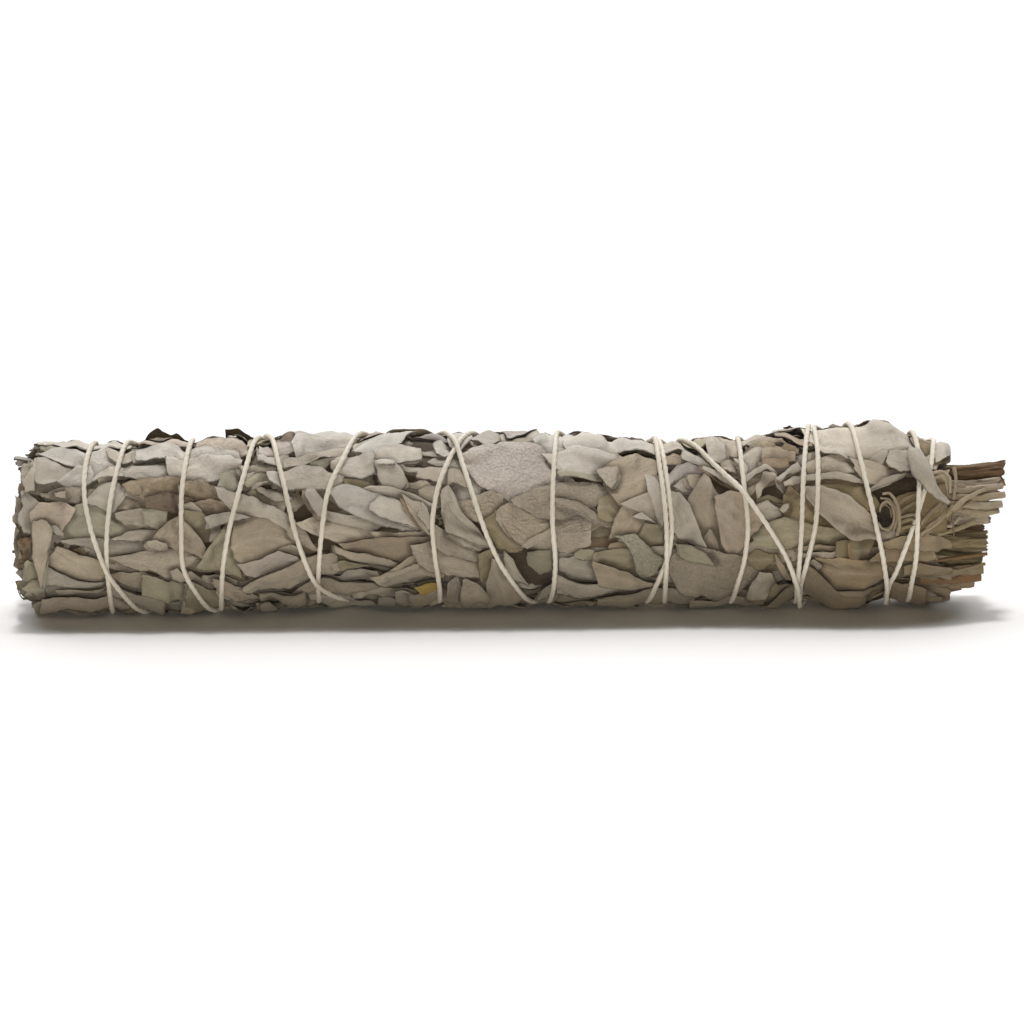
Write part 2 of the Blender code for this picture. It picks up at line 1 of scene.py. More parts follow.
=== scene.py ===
# A dried white sage smudge stick on a pale table: pressed leaves, woody stems and one cotton string.
import json
import math
import random

import bpy
import numpy as np
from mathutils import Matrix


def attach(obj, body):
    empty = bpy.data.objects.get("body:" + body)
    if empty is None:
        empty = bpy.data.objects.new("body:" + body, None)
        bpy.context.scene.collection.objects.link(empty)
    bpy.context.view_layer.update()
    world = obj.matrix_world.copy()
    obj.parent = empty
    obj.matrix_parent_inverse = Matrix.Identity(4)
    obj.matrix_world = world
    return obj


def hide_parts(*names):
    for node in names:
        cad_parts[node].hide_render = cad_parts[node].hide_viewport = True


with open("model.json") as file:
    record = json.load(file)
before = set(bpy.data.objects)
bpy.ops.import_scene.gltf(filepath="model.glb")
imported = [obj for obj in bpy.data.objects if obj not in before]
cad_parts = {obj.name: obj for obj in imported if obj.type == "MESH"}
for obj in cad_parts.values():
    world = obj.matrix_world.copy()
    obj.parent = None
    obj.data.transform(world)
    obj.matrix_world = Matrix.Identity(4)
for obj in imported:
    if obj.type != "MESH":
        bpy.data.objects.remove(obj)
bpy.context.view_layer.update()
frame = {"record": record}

mm = 0.001  # lengths below are in millimetres, and meshes are in metres


# Form of the stick, as in the solids

form = {
    # x, height of the middle above the table, radius
    "rows": [
        (-114, 19.6, 17.5), (-104, 19.6, 19.2), (-80, 19.5, 19.7), (-66, 19.8, 19.8), (-54, 20.5, 19.4),
        (-42, 21.5, 19.1), (-26, 21.8, 19.0), (-14, 21.2, 19.5), (0, 21.0, 19.4), (10, 21.2, 19.6),
        (22, 20.3, 18.7), (34, 19.9, 18.4), (46, 20.2, 18.6), (56, 20.0, 18.9), (64, 20.3, 20.2),
        (76, 21.0, 21.0), (85, 21.5, 20.9), (92, 20.9, 19.4), (98, 19.9, 17.9), (104, 19.0, 16.0),
        (114, 19.4, 14.6),
    ],
    "leafEnd": -114.0,
    "stemEnd": 114.0,
    "step": 0.5,
    "smoothing": 3.0,
    "shift": (-0.32, -0.21),  # puts the middle of the solids' box over the origin
    "arcRadius": 19.5,  # leaves are laid out on a sheet of this radius, unrolled
}


def blurred(values, reach):
    width = int(reach * 2.5)
    kernel = np.exp(-0.5 * (np.arange(-width, width + 1) / reach) ** 2)
    padded = np.pad(values, width, mode="edge")
    return np.convolve(padded, kernel / kernel.sum(), mode="valid")


formX = np.arange(form["leafEnd"], form["stemEnd"] + form["step"], form["step"])
formRows = np.array(form["rows"], float)
formHeight = blurred(np.interp(formX, formRows[:, 0], formRows[:, 1]), form["smoothing"] / form["step"])
formRadius = blurred(np.interp(formX, formRows[:, 0], formRows[:, 2]), form["smoothing"] / form["step"])


def heightAt(x):
    return np.interp(x, formX, formHeight)


def radiusAt(x):
    return np.interp(x, formX, formRadius)


def onStick(x, angle, radius):
    # angle 0 faces the viewer at -Y, 90 is the top
    turn = np.radians(angle)
    moveX, moveY = form["shift"]
    return np.stack([x + moveX, moveY - radius * np.cos(turn), heightAt(x) + radius * np.sin(turn)], axis=-1)


def arcAt(angle):
    # place round the stick on the unrolled sheet
    return np.radians(angle) * form["arcRadius"]


def angleAt(arc):
    return np.degrees(arc / form["arcRadius"])


# Camera, and where a point of its picture lies on the stick

view = {
    "pixelSize": 0.2294,  # mm of the stick for each pixel
    "middlePixel": (511.0, 607.0),  # where the stick's middle meets the table
    "tableSlope": -5 / 660,  # the table line rises to the right
    "elevation": 12.0,
    "distance": 4.0,
    "imageSize": 1024,
    "rimShare": 0.985,  # past this share of the radius a point stands up from the ridge
    "rimRelief": 0.5,  # height of the leaves on the ridge, in mm
    "rimTurn": 300.0,  # degrees for each share past it
    "rimMost": 10.0,
    "sensor": 36.0,
    "clip": (0.1, 100.0),
}


def placeOfPixel(pixels):
    # x, place round the stick on the unrolled sheet, and how far the point stands off it
    px, py = pixels[..., 0], pixels[..., 1]
    middleX, middleY = view["middlePixel"]
    x = (px - middleX) * view["pixelSize"]
    tableY = middleY + view["tableSlope"] * (px - middleX)
    up = (tableY - py) * view["pixelSize"] - heightAt(x) * math.cos(math.radians(view["elevation"]))
    share = up / radiusAt(x)
    held = np.clip(share, -view["rimShare"], view["rimShare"])
    behind = np.clip((share - held) * view["rimTurn"], -view["rimMost"], view["rimMost"])
    angle = view["elevation"] + np.degrees(np.arcsin(held)) + behind
    above = (share - 1) * radiusAt(x) - view["rimRelief"]
    return x, arcAt(angle), np.maximum(above, 0)


def makeCamera():
    data = bpy.data.cameras.new("camera")
    width = view["imageSize"] * view["pixelSize"] * mm
    data.sensor_width = view["sensor"]
    data.lens = data.sensor_width * view["distance"] / width
    data.clip_start, data.clip_end = view["clip"]
    camera = bpy.data.objects.new("camera", data)
    bpy.context.scene.collection.objects.link(camera)
    middleX, middleY = view["middlePixel"]
    centre = view["imageSize"] / 2
    tilt = math.radians(view["elevation"])
    targetX = (centre - middleX) * view["pixelSize"] * mm
    targetZ = (middleY - centre) * view["pixelSize"] * mm / math.cos(tilt)
    away = view["distance"]
    camera.location = (targetX, -away * math.cos(tilt), targetZ + away * math.sin(tilt))
    camera.rotation_euler = (math.pi / 2 - tilt, 0.0, 0.0)
    camera.rotation_euler.rotate_axis("Z", math.atan(view["tableSlope"]))
    bpy.context.scene.camera = camera


makeCamera()
print("camera placed")


# Nodes

class Wire:
    # one socket that takes part in sums
    def __init__(self, nodes, socket):
        self.nodes = nodes
        self.socket = socket

    def __add__(self, other):
        return self.nodes.sum("ADD", self, other)

    def __sub__(self, other):
        return self.nodes.sum("SUBTRACT", self, other)

    def __rsub__(self, other):
        return self.nodes.sum("SUBTRACT", other, self)

    def __mul__(self, other):
        return self.nodes.sum("MULTIPLY", self, other)

    __radd__ = __add__
    __rmul__ = __mul__


class Nodes:
    # one node tree, and the few calls that fill it
    def __init__(self, tree):
        self.tree = tree

    def node(self, kind, settings=None, sockets=None, output=0):
        made = self.tree.nodes.new(kind)
        for name, value in (settings or {}).items():
            setattr(made, name, value)
        for name, value in (sockets or {}).items():
            self.put(made.inputs[name], value)
        return Wire(self, made.outputs[output])

    def put(self, socket, value):
        if isinstance(value, Wire):
            self.tree.links.new(value.socket, socket)
        else:
            socket.default_value = value

    def sum(self, operation, first, second):
        return self.node("ShaderNodeMath", {"operation": operation}, {0: first, 1: second})


allFinishes = {"Specular IOR Level": 0.25, "Sheen Roughness": 0.6}


class Finish(Nodes):
    # one material
    def __init__(self, name, roughness, sheen=0.0):
        self.material = bpy.data.materials.new(name)
        self.material.use_nodes = True
        super().__init__(self.material.node_tree)
        self.shader = self.tree.nodes["Principled BSDF"]
        for socket, value in {"Roughness": roughness, "Sheen Weight": sheen, **allFinishes}.items():
            self.put(self.shader.inputs[socket], value)

    def place(self):
        return self.node("ShaderNodeTexCoord", output="Object")

    def attribute(self, name, output="Fac"):
        return self.node("ShaderNodeAttribute", {"attribute_name": name}, output=output)

    def noise(self, scale, detail=3.0, roughness=0.55, vector=None):
        sockets = {"Scale": scale, "Detail": detail, "Roughness": roughness, "Vector": vector or self.place()}
        return self.node("ShaderNodeTexNoise", None, sockets, "Fac")

    def cells(self, scale):
        return self.node("ShaderNodeTexVoronoi", None, {"Scale": scale, "Vector": self.place()})

    def stretched(self, vector, x, y, z):
        # coordinates drawn out along the axes whose factor is small
        return self.node("ShaderNodeMapping", None, {"Vector": vector, "Scale": (x, y, z)})

    def spread(self, value, low, high, toLow=0.0, toHigh=1.0):
        ends = {"Value": value, "From Min": low, "From Max": high, "To Min": toLow, "To Max": toHigh}
        return self.node("ShaderNodeMapRange", None, ends)

    def blend(self, factor, first, second, way="MIX"):
        settings = {"data_type": "RGBA", "blend_type": way, "clamp_factor": True}
        return self.node("ShaderNodeMix", settings, {0: factor, 6: first, 7: second}, 2)

    def dimmed(self, colour, shade):
        # a colour times one number
        grey = self.node("ShaderNodeCombineColor", None, {0: shade, 1: shade, 2: shade})
        return self.blend(1.0, colour, grey, "MULTIPLY")

    def done(self, colour, roughness, height=None, depth=0.0001, strength=0.6):
        self.put(self.shader.inputs["Base Color"], colour)
        self.put(self.shader.inputs["Roughness"], roughness)
        if height is not None:
            sockets = {"Height": height, "Strength": strength, "Distance": depth}
            self.put(self.shader.inputs["Normal"], self.node("ShaderNodeBump", None, sockets, "Normal"))
        return self.material


# Materials

leafSurface = {
    # scale, detail and roughness
    "mottle": (260, 5.0, 0.65),
    "broad": (60, 2.0),
    "stains": (120, 6.0, 0.75),
    "felt": (3400, 3.0, 0.7),
    "creases": (1.1, 4.0, 0.6),
    "wrinkles": (0.75, 3.0, 0.6),
    "pebbles": 1500,
    "stain": (0.17, 0.115, 0.065, 1.0),
    "rib": (0.6, 0.54, 0.44, 1.0),
    # painted shade: the colour of the dark lines in the wrinkles
    "wrinkle": (0.12, 0.09, 0.06, 1.0),
    # painted shadow: the colour of the line under a leaf's edge
    "edge": (0.06, 0.045, 0.03, 1.0),
    "edgeFades": (0.05, 0.24),  # mm from the border
    "bump": (0.0004, 0.85),  # depth in metres, strength
}


def leafFinish():
    # dry velvety leaf: its tone from the mesh, which carries painted light and shade, mottled, felted and
    # creased along its length, with painted shade in its creases, wrinkles and pebbles and a painted shadow
    # under its edges
    made = Finish("dryLeaf", 0.85, sheen=0.08)
    tone = made.attribute("tone", "Color")
    grain = made.attribute("grain")
    rib = made.attribute("rib")
    ownPlace = made.attribute("ownPlace", "Vector")
    mottle = made.noise(*leafSurface["mottle"])
    broad = made.noise(*leafSurface["broad"])
    shade = made.spread(mottle * 0.6 + broad * 0.4, 0.32, 0.68, 0.84, 1.13)
    colour = made.dimmed(tone, shade)
    stain = made.spread(made.noise(*leafSurface["stains"]), 0.6, 0.74)
    colour = made.blend(stain * 0.4, colour, leafSurface["stain"])
    felt = made.noise(*leafSurface["felt"])
    colour = made.dimmed(colour, made.spread(felt, 0.3, 0.7, 0.9, 1.1))
    # painted shade: darker between the pebbles, where their bump is low
    pebbles = made.cells(leafSurface["pebbles"])
    pebbled = made.dimmed(colour, made.spread(pebbles, 0.1, 0.6, 1.12, 0.8))
    colour = made.blend(grain * 0.6, colour, pebbled)
    # painted light and shade on the creases: lighter where their bump is high, darker where it is low
    creases = made.noise(*leafSurface["creases"], made.stretched(ownPlace, 0.3, 1.0, 1.0))
    colour = made.dimmed(colour, made.spread(creases, 0.35, 0.6, 0.96, 1.03))
    colour = made.blend(rib * 0.15, colour, leafSurface["rib"])
    # painted shadow: a thin dark line where the leaf ends, as the shade under its edge, broken here and there
    edge = made.attribute("edge") + made.spread(made.noise(900, 2.0), 0.3, 0.7, -0.12, 0.12)
    line = made.spread(edge, *leafSurface["edgeFades"], 1.0, 0.0)
    line = line * made.spread(made.noise(75, 2.0), 0.38, 0.58, 0.1, 0.8)
    colour = made.blend(line, colour, leafSurface["edge"])
    # painted shade: thin dark lines along the wrinkles' grooves
    wrinkles = made.noise(*leafSurface["wrinkles"], made.stretched(ownPlace, 0.35, 1.0, 1.0))
    wrinkle = made.spread(made.sum("ABSOLUTE", wrinkles - 0.5, 0.0), 0.0, 0.035, 1.0, 0.0)
    wrinkle = wrinkle * made.spread(made.noise(95, 2.0), 0.5, 0.62, 0.0, 1.0)
    colour = made.blend(wrinkle * 0.2, colour, leafSurface["wrinkle"])
    folds = creases * (grain * 1.6 + 0.8) - wrinkle * 0.25
    height = felt * 0.35 + folds + rib * 0.4 - pebbles * grain * 1.1 - line * 0.5
    return made.done(colour, made.spread(mottle, 0.3, 0.7, 0.78, 0.95), height, *leafSurface["bump"])


barks = {
    # light, dark and patches
    "darkBark": ((0.25, 0.16, 0.09, 1.0), (0.06, 0.038, 0.02, 1.0), (0.36, 0.24, 0.13, 1.0)),
    "tanStem": ((0.45, 0.38, 0.285, 1.0), (0.12, 0.09, 0.058, 1.0), (0.5, 0.435, 0.34, 1.0)),
    "oliveStem": ((0.32, 0.265, 0.15, 1.0), (0.1, 0.077, 0.042, 1.0), (0.38, 0.24, 0.11, 1.0)),
}
barkGrain = {
    "fibres": (1500, 4.0, 0.65),
    "bands": (380, 3.0, 0.6),
    "patches": (140, 4.0, 0.6),
    "bump": (0.0006, 0.9),
}


def barkFinish(name):
    # dry stem: long fibres, patches of another bark and a rough cut
    made = Finish(name, 0.85)
    light, dark, patch = barks[name]
    along = made.stretched(made.place(), 0.1, 1.0, 1.0)
    fibres = made.noise(*barkGrain["fibres"], along)
    bands = made.noise(*barkGrain["bands"], along)
    patches = made.noise(*barkGrain["patches"], made.stretched(made.place(), 0.5, 1.0, 1.0))
    colour = made.blend(made.spread(fibres * 0.5 + bands * 0.5, 0.38, 0.62), dark, light)
    colour = made.blend(made.spread(patches, 0.5, 0.68) * 0.75, colour, patch)
    rough = made.spread(patches, 0.3, 0.7, 0.75, 0.95)
    return made.done(colour, rough, fibres * 0.7 + bands * 0.8, *barkGrain["bump"])


cottonSurface = {
    "clean": (0.85, 0.79, 0.68, 1.0),
    "soiled": (0.76, 0.69, 0.57, 1.0),
    "fibre": (0.62, 0.55, 0.44, 1.0),
    "fibres": (3200, 3.0, 0.7),
    "soil": (90, 3.0),
    "bump": (0.00012, 0.7),
}


def cottonFinish():
    # twisted off-white cotton, a little soiled, with fine loose fibre
    made = Finish("cottonString", 0.9, sheen=0.2)
    fibre = made.noise(*cottonSurface["fibres"])
    soil = made.noise(*cottonSurface["soil"])
    colour = made.blend(made.spread(soil, 0.42, 0.66), cottonSurface["clean"], cottonSurface["soiled"])
    colour = made.blend(made.spread(fibre, 0.3, 0.7, 0.0, 0.25), colour, cottonSurface["fibre"])
    return made.done(colour, made.spread(fibre, 0.3, 0.7, 0.82, 0.98), fibre, *cottonSurface["bump"])


tableColours = ((0.9, 0.885, 0.875, 1.0), (0.92, 0.91, 0.9, 1.0))


def tableFinish():
    made = Finish("paleTable", 0.9)
    cloud = made.noise(6, 2.0)
    colour = made.blend(made.spread(cloud, 0.3, 0.7), *tableColours)
    return made.done(colour, made.spread(cloud, 0.3, 0.7, 0.85, 0.95))


finishes = {
    "leaf": leafFinish(),
    "bark": barkFinish("darkBark"),
    "tan": barkFinish("tanStem"),
    "olive": barkFinish("oliveStem"),
    "cotton": cottonFinish(),
    "table": tableFinish(),
}
print("materials made")


# Meshes

def addPiece(name, points, faces, material, smooth=50.0):
    # points in mm; the angle is that up to which two faces look like one
    mesh = bpy.data.meshes.new(name)
    mesh.from_pydata((np.asarray(points) * mm).tolist(), [], faces)
    mesh.materials.append(material)
    mesh.shade_smooth()
    mesh.set_sharp_from_angle(angle=math.radians(smooth))
    made = bpy.data.objects.new(name, mesh)
    bpy.context.scene.collection.objects.link(made)
    return made


def standFor(piece, node):
    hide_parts(node)
    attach(piece, "root")
    print(piece.name, "triangles:", sum(len(face.vertices) - 2 for face in piece.data.polygons))


# Route of the string, as in the solids

string = {
    "radius": 0.575,
    "inset": 0.1,  # the string's middle lies this far inside the outline
    "tableGap": 0.05,
    "viewTilt": 12.0,
    "step": 0.8,
    "smoothing": 7.0,
    "underside": 0.2,
    "crossingPitch": 1.6,
    "crossingSlope": 0.35,
    "crossingSink": 0.3,
    "crossingRounds": 3,
    "sinkFalloff": 0.3,
    "undersideStart": 0.6,
    "undersideSteepness": 2.2,
    "sameTurn": 7.0,
    "knotX": 89.5,
    "knotAngle": 205.0,
    "angles": (90, 45, 20, -5, -30, -55, -90),
    # x of each strand across the front at these angles, in the order in which it was wound
    "strands": [
        (97.5, 96.7, 95.0, 92.5, 89.5, 86.7, 86.0),
        (92.4, 93.8, 93.6, 93.1, 92.9, 91.7, 91.1),
        (69.7, 70.6, 70.5, 70.0, 67.8, 66.5, 66.5),
        (68.8, 67.6, 67.0, 66.7, 66.1, 65.6, 65.6),
        (52.3, 53.1, 53.7, 54.6, 53.6, 51.7, 50.5),
        (34.2, 35.5, 36.4, 37.2, 36.1, 33.1, 31.2),
        (11.0, 10.4, 9.9, 9.7, 10.5, 10.0, 8.7),
        (-8.5, -13.5, -16.5, -17.9, -17.1, -16.1, -16.1),
        (-33.7, -37.7, -41.5, -42.8, -43.6, -44.0, -43.8),
        (-57.4, -59.8, -61.9, -64.3, -65.7, -66.1, -66.3),
        (-87.2, -89.4, -91.1, -92.1, -92.2, -91.5, -91.1),
        (-95.0, -97.0, -97.3, -95.5, -92.4, -88.2, -83.3),
        (-72.3, -74.1, -75.0, -75.0, -75.0, -71.3, -67.4),
        (-54.8, -52.9, -51.1, -49.4, -47.0, -44.2, -36.9),
        (-14.7, -11.2, -8.9, -6.2, -2.8, 1.4, 5.5),
        (33.3, 34.2, 35.2, 35.9, 35.8, 35.5, 35.3),
        (39.0, 46.1, 53.3, 59.1, 64.0, 66.1, 66.3),
        (77.8, 79.7, 81.4, 83.5, 85.3, 86.3, 86.0),
    ],
}


def stringBase(x, angle):
    # radius at which the string's middle lies, pressed a little into the leaves and clear of the table
    free = radiusAt(x) - string["inset"]
    down = -np.sin(np.radians(angle))
    low = (heightAt(x) - string["radius"] - string["tableGap"]) / np.maximum(down, string["underside"])
    return np.where(down > string["underside"], np.minimum(free, low), free)


def stringRoute():
    # x and unwound angle along the whole string, evenly spaced by length
    turns = [string["knotAngle"]]
    places = [string["knotX"] - 1.0]
    for number, strand in enumerate(string["strands"]):
        for angle, x in zip(string["angles"], strand):
            turns.append(angle + string["viewTilt"] - 360.0 * number)
            places.append(x)
    turns.append(string["knotAngle"] - 360.0 * len(string["strands"]))
    places.append(string["knotX"])
    turn = np.arange(turns[0], turns[-1], -1.0)
    x = blurred(np.interp(-turn, -np.array(turns), places), string["smoothing"])
    point = onStick(x, turn, stringBase(x, turn))
    run = np.concatenate([[0], np.cumsum(np.linalg.norm(np.diff(point, axis=0), axis=1))])
    even = np.arange(0, run[-1], string["step"])
    return np.interp(even, run, x), np.interp(even, run, turn)


def crossingHeights(x, turn):
    # a later turn passes over an earlier one in a low hump, pressed into the leaves
    count = len(x)
    apart = int(string["sameTurn"] / string["step"])
    slope = string["crossingSlope"] * string["step"]
    pitch = string["crossingPitch"]
    rise = np.zeros(count)
    radius = radiusAt(x)
    distance = []
    for j in range(count):
        around = (turn - turn[j] + 180) % 360 - 180
        distance.append(np.hypot(x - x[j], np.radians(around) * radius))
    for _ in range(string["crossingRounds"]):
        for j in range(apart, count):
            near = np.flatnonzero(distance[j][: j - apart] < pitch)
            if len(near):
                over = np.sqrt(pitch ** 2 - distance[j][near] ** 2)
                rise[j] = max(rise[j], (rise[near] + over).max())
        for j in range(1, count):
            rise[j] = max(rise[j], rise[j - 1] - slope)
        for j in range(count - 2, -1, -1):
            rise[j] = max(rise[j], rise[j + 1] - slope)
    low = -np.sin(np.radians(turn)) * string["undersideSteepness"] - string["undersideStart"]
    share = string["crossingSink"] + (1 - string["crossingSink"]) * np.clip(low, 0, 1)
    sink = np.array([(share * rise - string["sinkFalloff"] * distance[j]).max() for j in range(count)])
    return rise - np.maximum(sink, 0)


routeX, routeTurn = stringRoute()
routeRadius = stringBase(routeX, routeTurn) + crossingHeights(routeX, routeTurn)
print("string routed:", len(routeX), "points")


# The heap of leaves, laid one after another on an unrolled sheet

sheet = {
    "cell": 0.5,
    "margin": 3.0,
    "seed": 20,
    "waves": (97, 89),  # rows and columns of the noise
    "stampSpacing": 0.28,
    "thickness": (0.2, 0.3),
    "settling": 2.4,  # reach over which a leaf bridges the unevenness below it
    "rounds": (6, 50),
    "fall": 0.15,  # how far it sags
    "blur": 2.4,  # reach over which the heap's level is evened out
    "level": 0.05,  # the evened level, measured from the outline
}
sheetEnds = {
    "left": 0.4,
    "rounding": 5.0,
    "ragged": 2.2,
    "raggedLength": 3.1,
    "right": 101.0,
    "give": (0.04, 0.05),  # share of what passes the left and the right end that stays
}
rng = np.random.default_rng(sheet["seed"])
arcLength = 2 * math.pi * form["arcRadius"]
cellsX = int((form["stemEnd"] - form["leafEnd"] + 2 * sheet["margin"]) / sheet["cell"])
cellsArc = int(round(arcLength / sheet["cell"]))
cellArc = arcLength / cellsArc
startX = form["leafEnd"] - sheet["margin"]
heap = np.zeros((cellsX, cellsArc))
owner = np.full((cellsX, cellsArc), -1)
leaves = []

# half widths along a drawn leaf, from root to tip
outlines = {
    "lance": [(0, 0.1), (0.12, 0.5), (0.38, 1.0), (0.7, 0.8), (0.9, 0.36), (1, 0.02)],
    "spear": [(0, 0.75), (0.25, 1.0), (0.6, 0.72), (1, 0.02)],
    "blunt": [(0, 0.55), (0.15, 0.85), (0.5, 1.0), (0.8, 0.85), (0.94, 0.55), (1, 0.15)],
    "round": [(0, 0.2), (0.12, 0.62), (0.35, 0.95), (0.65, 1.0), (0.88, 0.66), (1, 0.12)],
    "torn": [(0, 0.9), (0.2, 1.0), (0.55, 0.92), (0.8, 0.98), (1, 0.8)],
    "strip": [(0, 0.8), (0.3, 1.0), (0.7, 0.9), (1, 0.5)],
    "diamond": [(0, 0.05), (0.45, 1.0), (0.6, 0.95), (1, 0.05)],
    "wedge": [(0, 1.0), (0.3, 0.85), (1, 0.05)],
}

tones = {
    "pale": (0.52, 0.475, 0.405),
    "light": (0.46, 0.41, 0.335),
    "mid": (0.415, 0.362, 0.285),
    "grey": (0.39, 0.35, 0.285),
    "green": (0.375, 0.342, 0.25),
    "lilac": (0.44, 0.385, 0.335),
    "paleLilac": (0.56, 0.495, 0.43),
    "pink": (0.45, 0.38, 0.305),
    "beige": (0.405, 0.345, 0.262),
    "tan": (0.325, 0.262, 0.185),
    "olive": (0.3, 0.26, 0.175),
    "brown": (0.21, 0.152, 0.098),
    "dark": (0.05, 0.038, 0.024),
    "yellow": (0.5, 0.35, 0.09),
    "rust": (0.235, 0.15, 0.08),
}

styles = {
    # arch: bulge across, for each mm of half width; curl, tip, wrinkle, lift: mm; grain: 0 to 1
    "plain": {"arch": 0.0, "curl": 0.32, "tip": 0.25, "wrinkle": 0.16, "lift": 0.06, "grain": 0.12},
    "fuzz": {"arch": 0.07, "curl": 0.15, "tip": 0.15, "wrinkle": 0.1, "lift": 0.1, "grain": 1.0},
    "crumple": {"arch": 0.05, "curl": 0.5, "tip": 0.5, "wrinkle": 1.0, "lift": 0.0, "grain": 0.6},
    "tube": {"arch": 0.45, "curl": 0.0, "tip": 0.1, "wrinkle": 0.12, "lift": 0.1, "grain": 0.1},
    "rim": {"arch": 0.0, "curl": 0.65, "tip": 0.5, "wrinkle": 0.12, "lift": 0.1, "grain": 0.1},
    "filler": {"arch": 0.05, "curl": 0.1, "tip": 0.1, "wrinkle": 0.2, "lift": 0.0, "grain": 0.2},
}

waves = rng.uniform(-1, 1, sheet["waves"])


def betweenCells(field, row, column, shareRow, shareColumn):
    # a value between four cells; past its end a field goes on from its start
    rows, columns = field.shape
    here = field[row % rows, column % columns] * (1 - shareColumn)
    here = here + field[row % rows, (column + 1) % columns] * shareColumn
    after = field[(row + 1) % rows, column % columns] * (1 - shareColumn)
    after = after + field[(row + 1) % rows, (column + 1) % columns] * shareColumn
    return here * (1 - shareRow) + after * shareRow


def rough(a, b):
    # a smooth value that wanders between -1 and 1 over the plane
    i = np.floor(a).astype(int)
    j = np.floor(b).astype(int)
    fa = (a - i) ** 2 * (3 - 2 * (a - i))
    fb = (b - j) ** 2 * (3 - 2 * (b - j))
    return betweenCells(waves, i, j, fa, fb)


def waved(shape, a, b, startA=0, startB=0):
    # the same with a size and the lengths over which it changes
    size, lengthA, lengthB = shape
    return size * rough(a / lengthA + startA, b / lengthB + startB)


def cellOf(x, arc):
    row = np.clip(((x - startX) / sheet["cell"]).astype(int), 0, cellsX - 1)
    return row, np.floor(arc / cellArc).astype(int) % cellsArc


def highestNear(x, arc):
    row, column = cellOf(x, arc)
    found = heap[row, column]
    for dr, dc in ((1, 0), (-1, 0), (0, 1), (0, -1)):
        found = np.maximum(found, heap[np.clip(row + dr, 0, cellsX - 1), (column + dc) % cellsArc])
    return found


def sampled(field, x, arc):
    # a field of the sheet, read between its cells
    row = np.clip((x - startX) / sheet["cell"] - 0.5, 0, cellsX - 1.001)
    column = arc / cellArc - 0.5
    r0 = np.floor(row).astype(int)
    c0 = np.floor(column).astype(int)
    return betweenCells(field, r0, c0, row - r0, column - c0)


def finer(grid, rows, columns):
    # the same surface with more points
    i = np.linspace(0, grid.shape[0] - 1.001, rows)[:, None]
    j = np.linspace(0, grid.shape[1] - 1.001, columns)[None, :]
    i0 = i.astype(int)
    j0 = j.astype(int)
    return betweenCells(grid, i0, j0, i - i0, j - j0).ravel()


def fineCells(x, arc, length, width):
    rows = max(3, int(length / sheet["stampSpacing"]))
    columns = max(3, int(width / sheet["stampSpacing"]))
    row, column = cellOf(finer(x, rows, columns), finer(arc, rows, columns))
    return row * cellsArc + column, rows, columns


def softened(grid):
    padded = np.pad(grid, 1, mode="edge")
    around = padded[:-2, 1:-1] + padded[2:, 1:-1] + padded[1:-1, :-2] + padded[1:-1, 2:]
    return around / 8 + grid / 2


# From two edges to a leaf

edgeShape = {
    "steps": 40,
    "cornerReach": 6,
    "cornerRound": 0.75,  # in steps
    "along": (5, 80),  # fewest and most points
    "across": (4, 40),
    "leastHalf": 0.3,
    # how far it strays in mm, and the lengths over which it does
    "sides": ((0.16, 1.7, 1), (0.1, 0.8, 1)),
    "ends": {7.3: (0.35, 0.9, 1), 3.1: (0.3, 2.2, 1)},  # by their row of the noise
    "lengthen": 0.35,  # leaves go on a little beyond their ends
}
cornerSteps = np.arange(-edgeShape["cornerReach"], edgeShape["cornerReach"] + 1)
cornerKernel = np.exp(-0.5 * (cornerSteps / edgeShape["cornerRound"]) ** 2)
cornerKernel /= cornerKernel.sum()


def stepsOf(line):
    return np.hypot(*np.diff(line, axis=0).T)


def divided(edge, count):
    # the edge's line in even steps, with its corners rounded
    edge = np.asarray(edge, float).reshape(-1, 2)
    steps = edgeShape["steps"]
    run = np.concatenate([[0], np.cumsum(stepsOf(edge))])
    even = np.linspace(0, run[-1], steps + 1)
    shares = np.linspace(0, steps, count)
    lines = []
    for k in (0, 1):
        padded = np.interp(even, run, edge[:, k])
        padded = np.pad(padded, edgeShape["cornerReach"], mode="reflect", reflect_type="odd")
        rounded = np.convolve(padded, cornerKernel, mode="valid")
        lines.append(np.interp(shares, np.arange(steps + 1), rounded))
    return np.stack(lines, axis=1)


def betweenEdges(first, second, scale, spacing, wider=1.0):
    # a grid of points between two edges that both run from root to tip
    a = divided(first, edgeShape["steps"] + 1)
    b = divided(second, edgeShape["steps"] + 1)
    length = scale * max(stepsOf(a).sum(), stepsOf(b).sum())
    width = scale * np.hypot(*(b - a).T).max()
    countU = int(np.clip(length / spacing, *edgeShape["along"]))
    countV = int(np.clip(width / spacing, *edgeShape["across"]))
    a = divided(first, countU)[:, None, :]
    b = divided(second, countU)[:, None, :]
    u = np.linspace(0, 1, countU)[:, None]
    v = np.linspace(-1, 1, countV)[None, :]
    half = np.maximum(scale * np.linalg.norm(b - a, axis=2) / 2, edgeShape["leastHalf"])
    draw = rng.uniform(0, 60, 4)
    along = u * length
    side = draw[0] + np.sign(v) * 20
    ragged = sum(waved(shape, along, side, draw[k]) for k, shape in enumerate(edgeShape["sides"], 1))
    share = 0.5 + 0.5 * v * (wider + np.abs(v) * ragged / half)
    grid = a + (b - a) * share[:, :, None]
    heading = (a[-1, 0] + b[-1, 0]) - (a[0, 0] + b[0, 0])
    heading = heading / (np.hypot(*heading) + 1e-9)
    across = v * half
    ragged = sum(waved(shape, across, row, draw[3]) for row, shape in edgeShape["ends"].items())
    grid = grid + heading * ((ragged + edgeShape["lengthen"]) * (2 * u - 1) ** 5 / scale)[:, :, None]
    places = {"u": u + 0 * v, "v": v + 0 * u, "along": along + 0 * v, "across": across}
    return grid, {**places, "half": half + 0 * v}


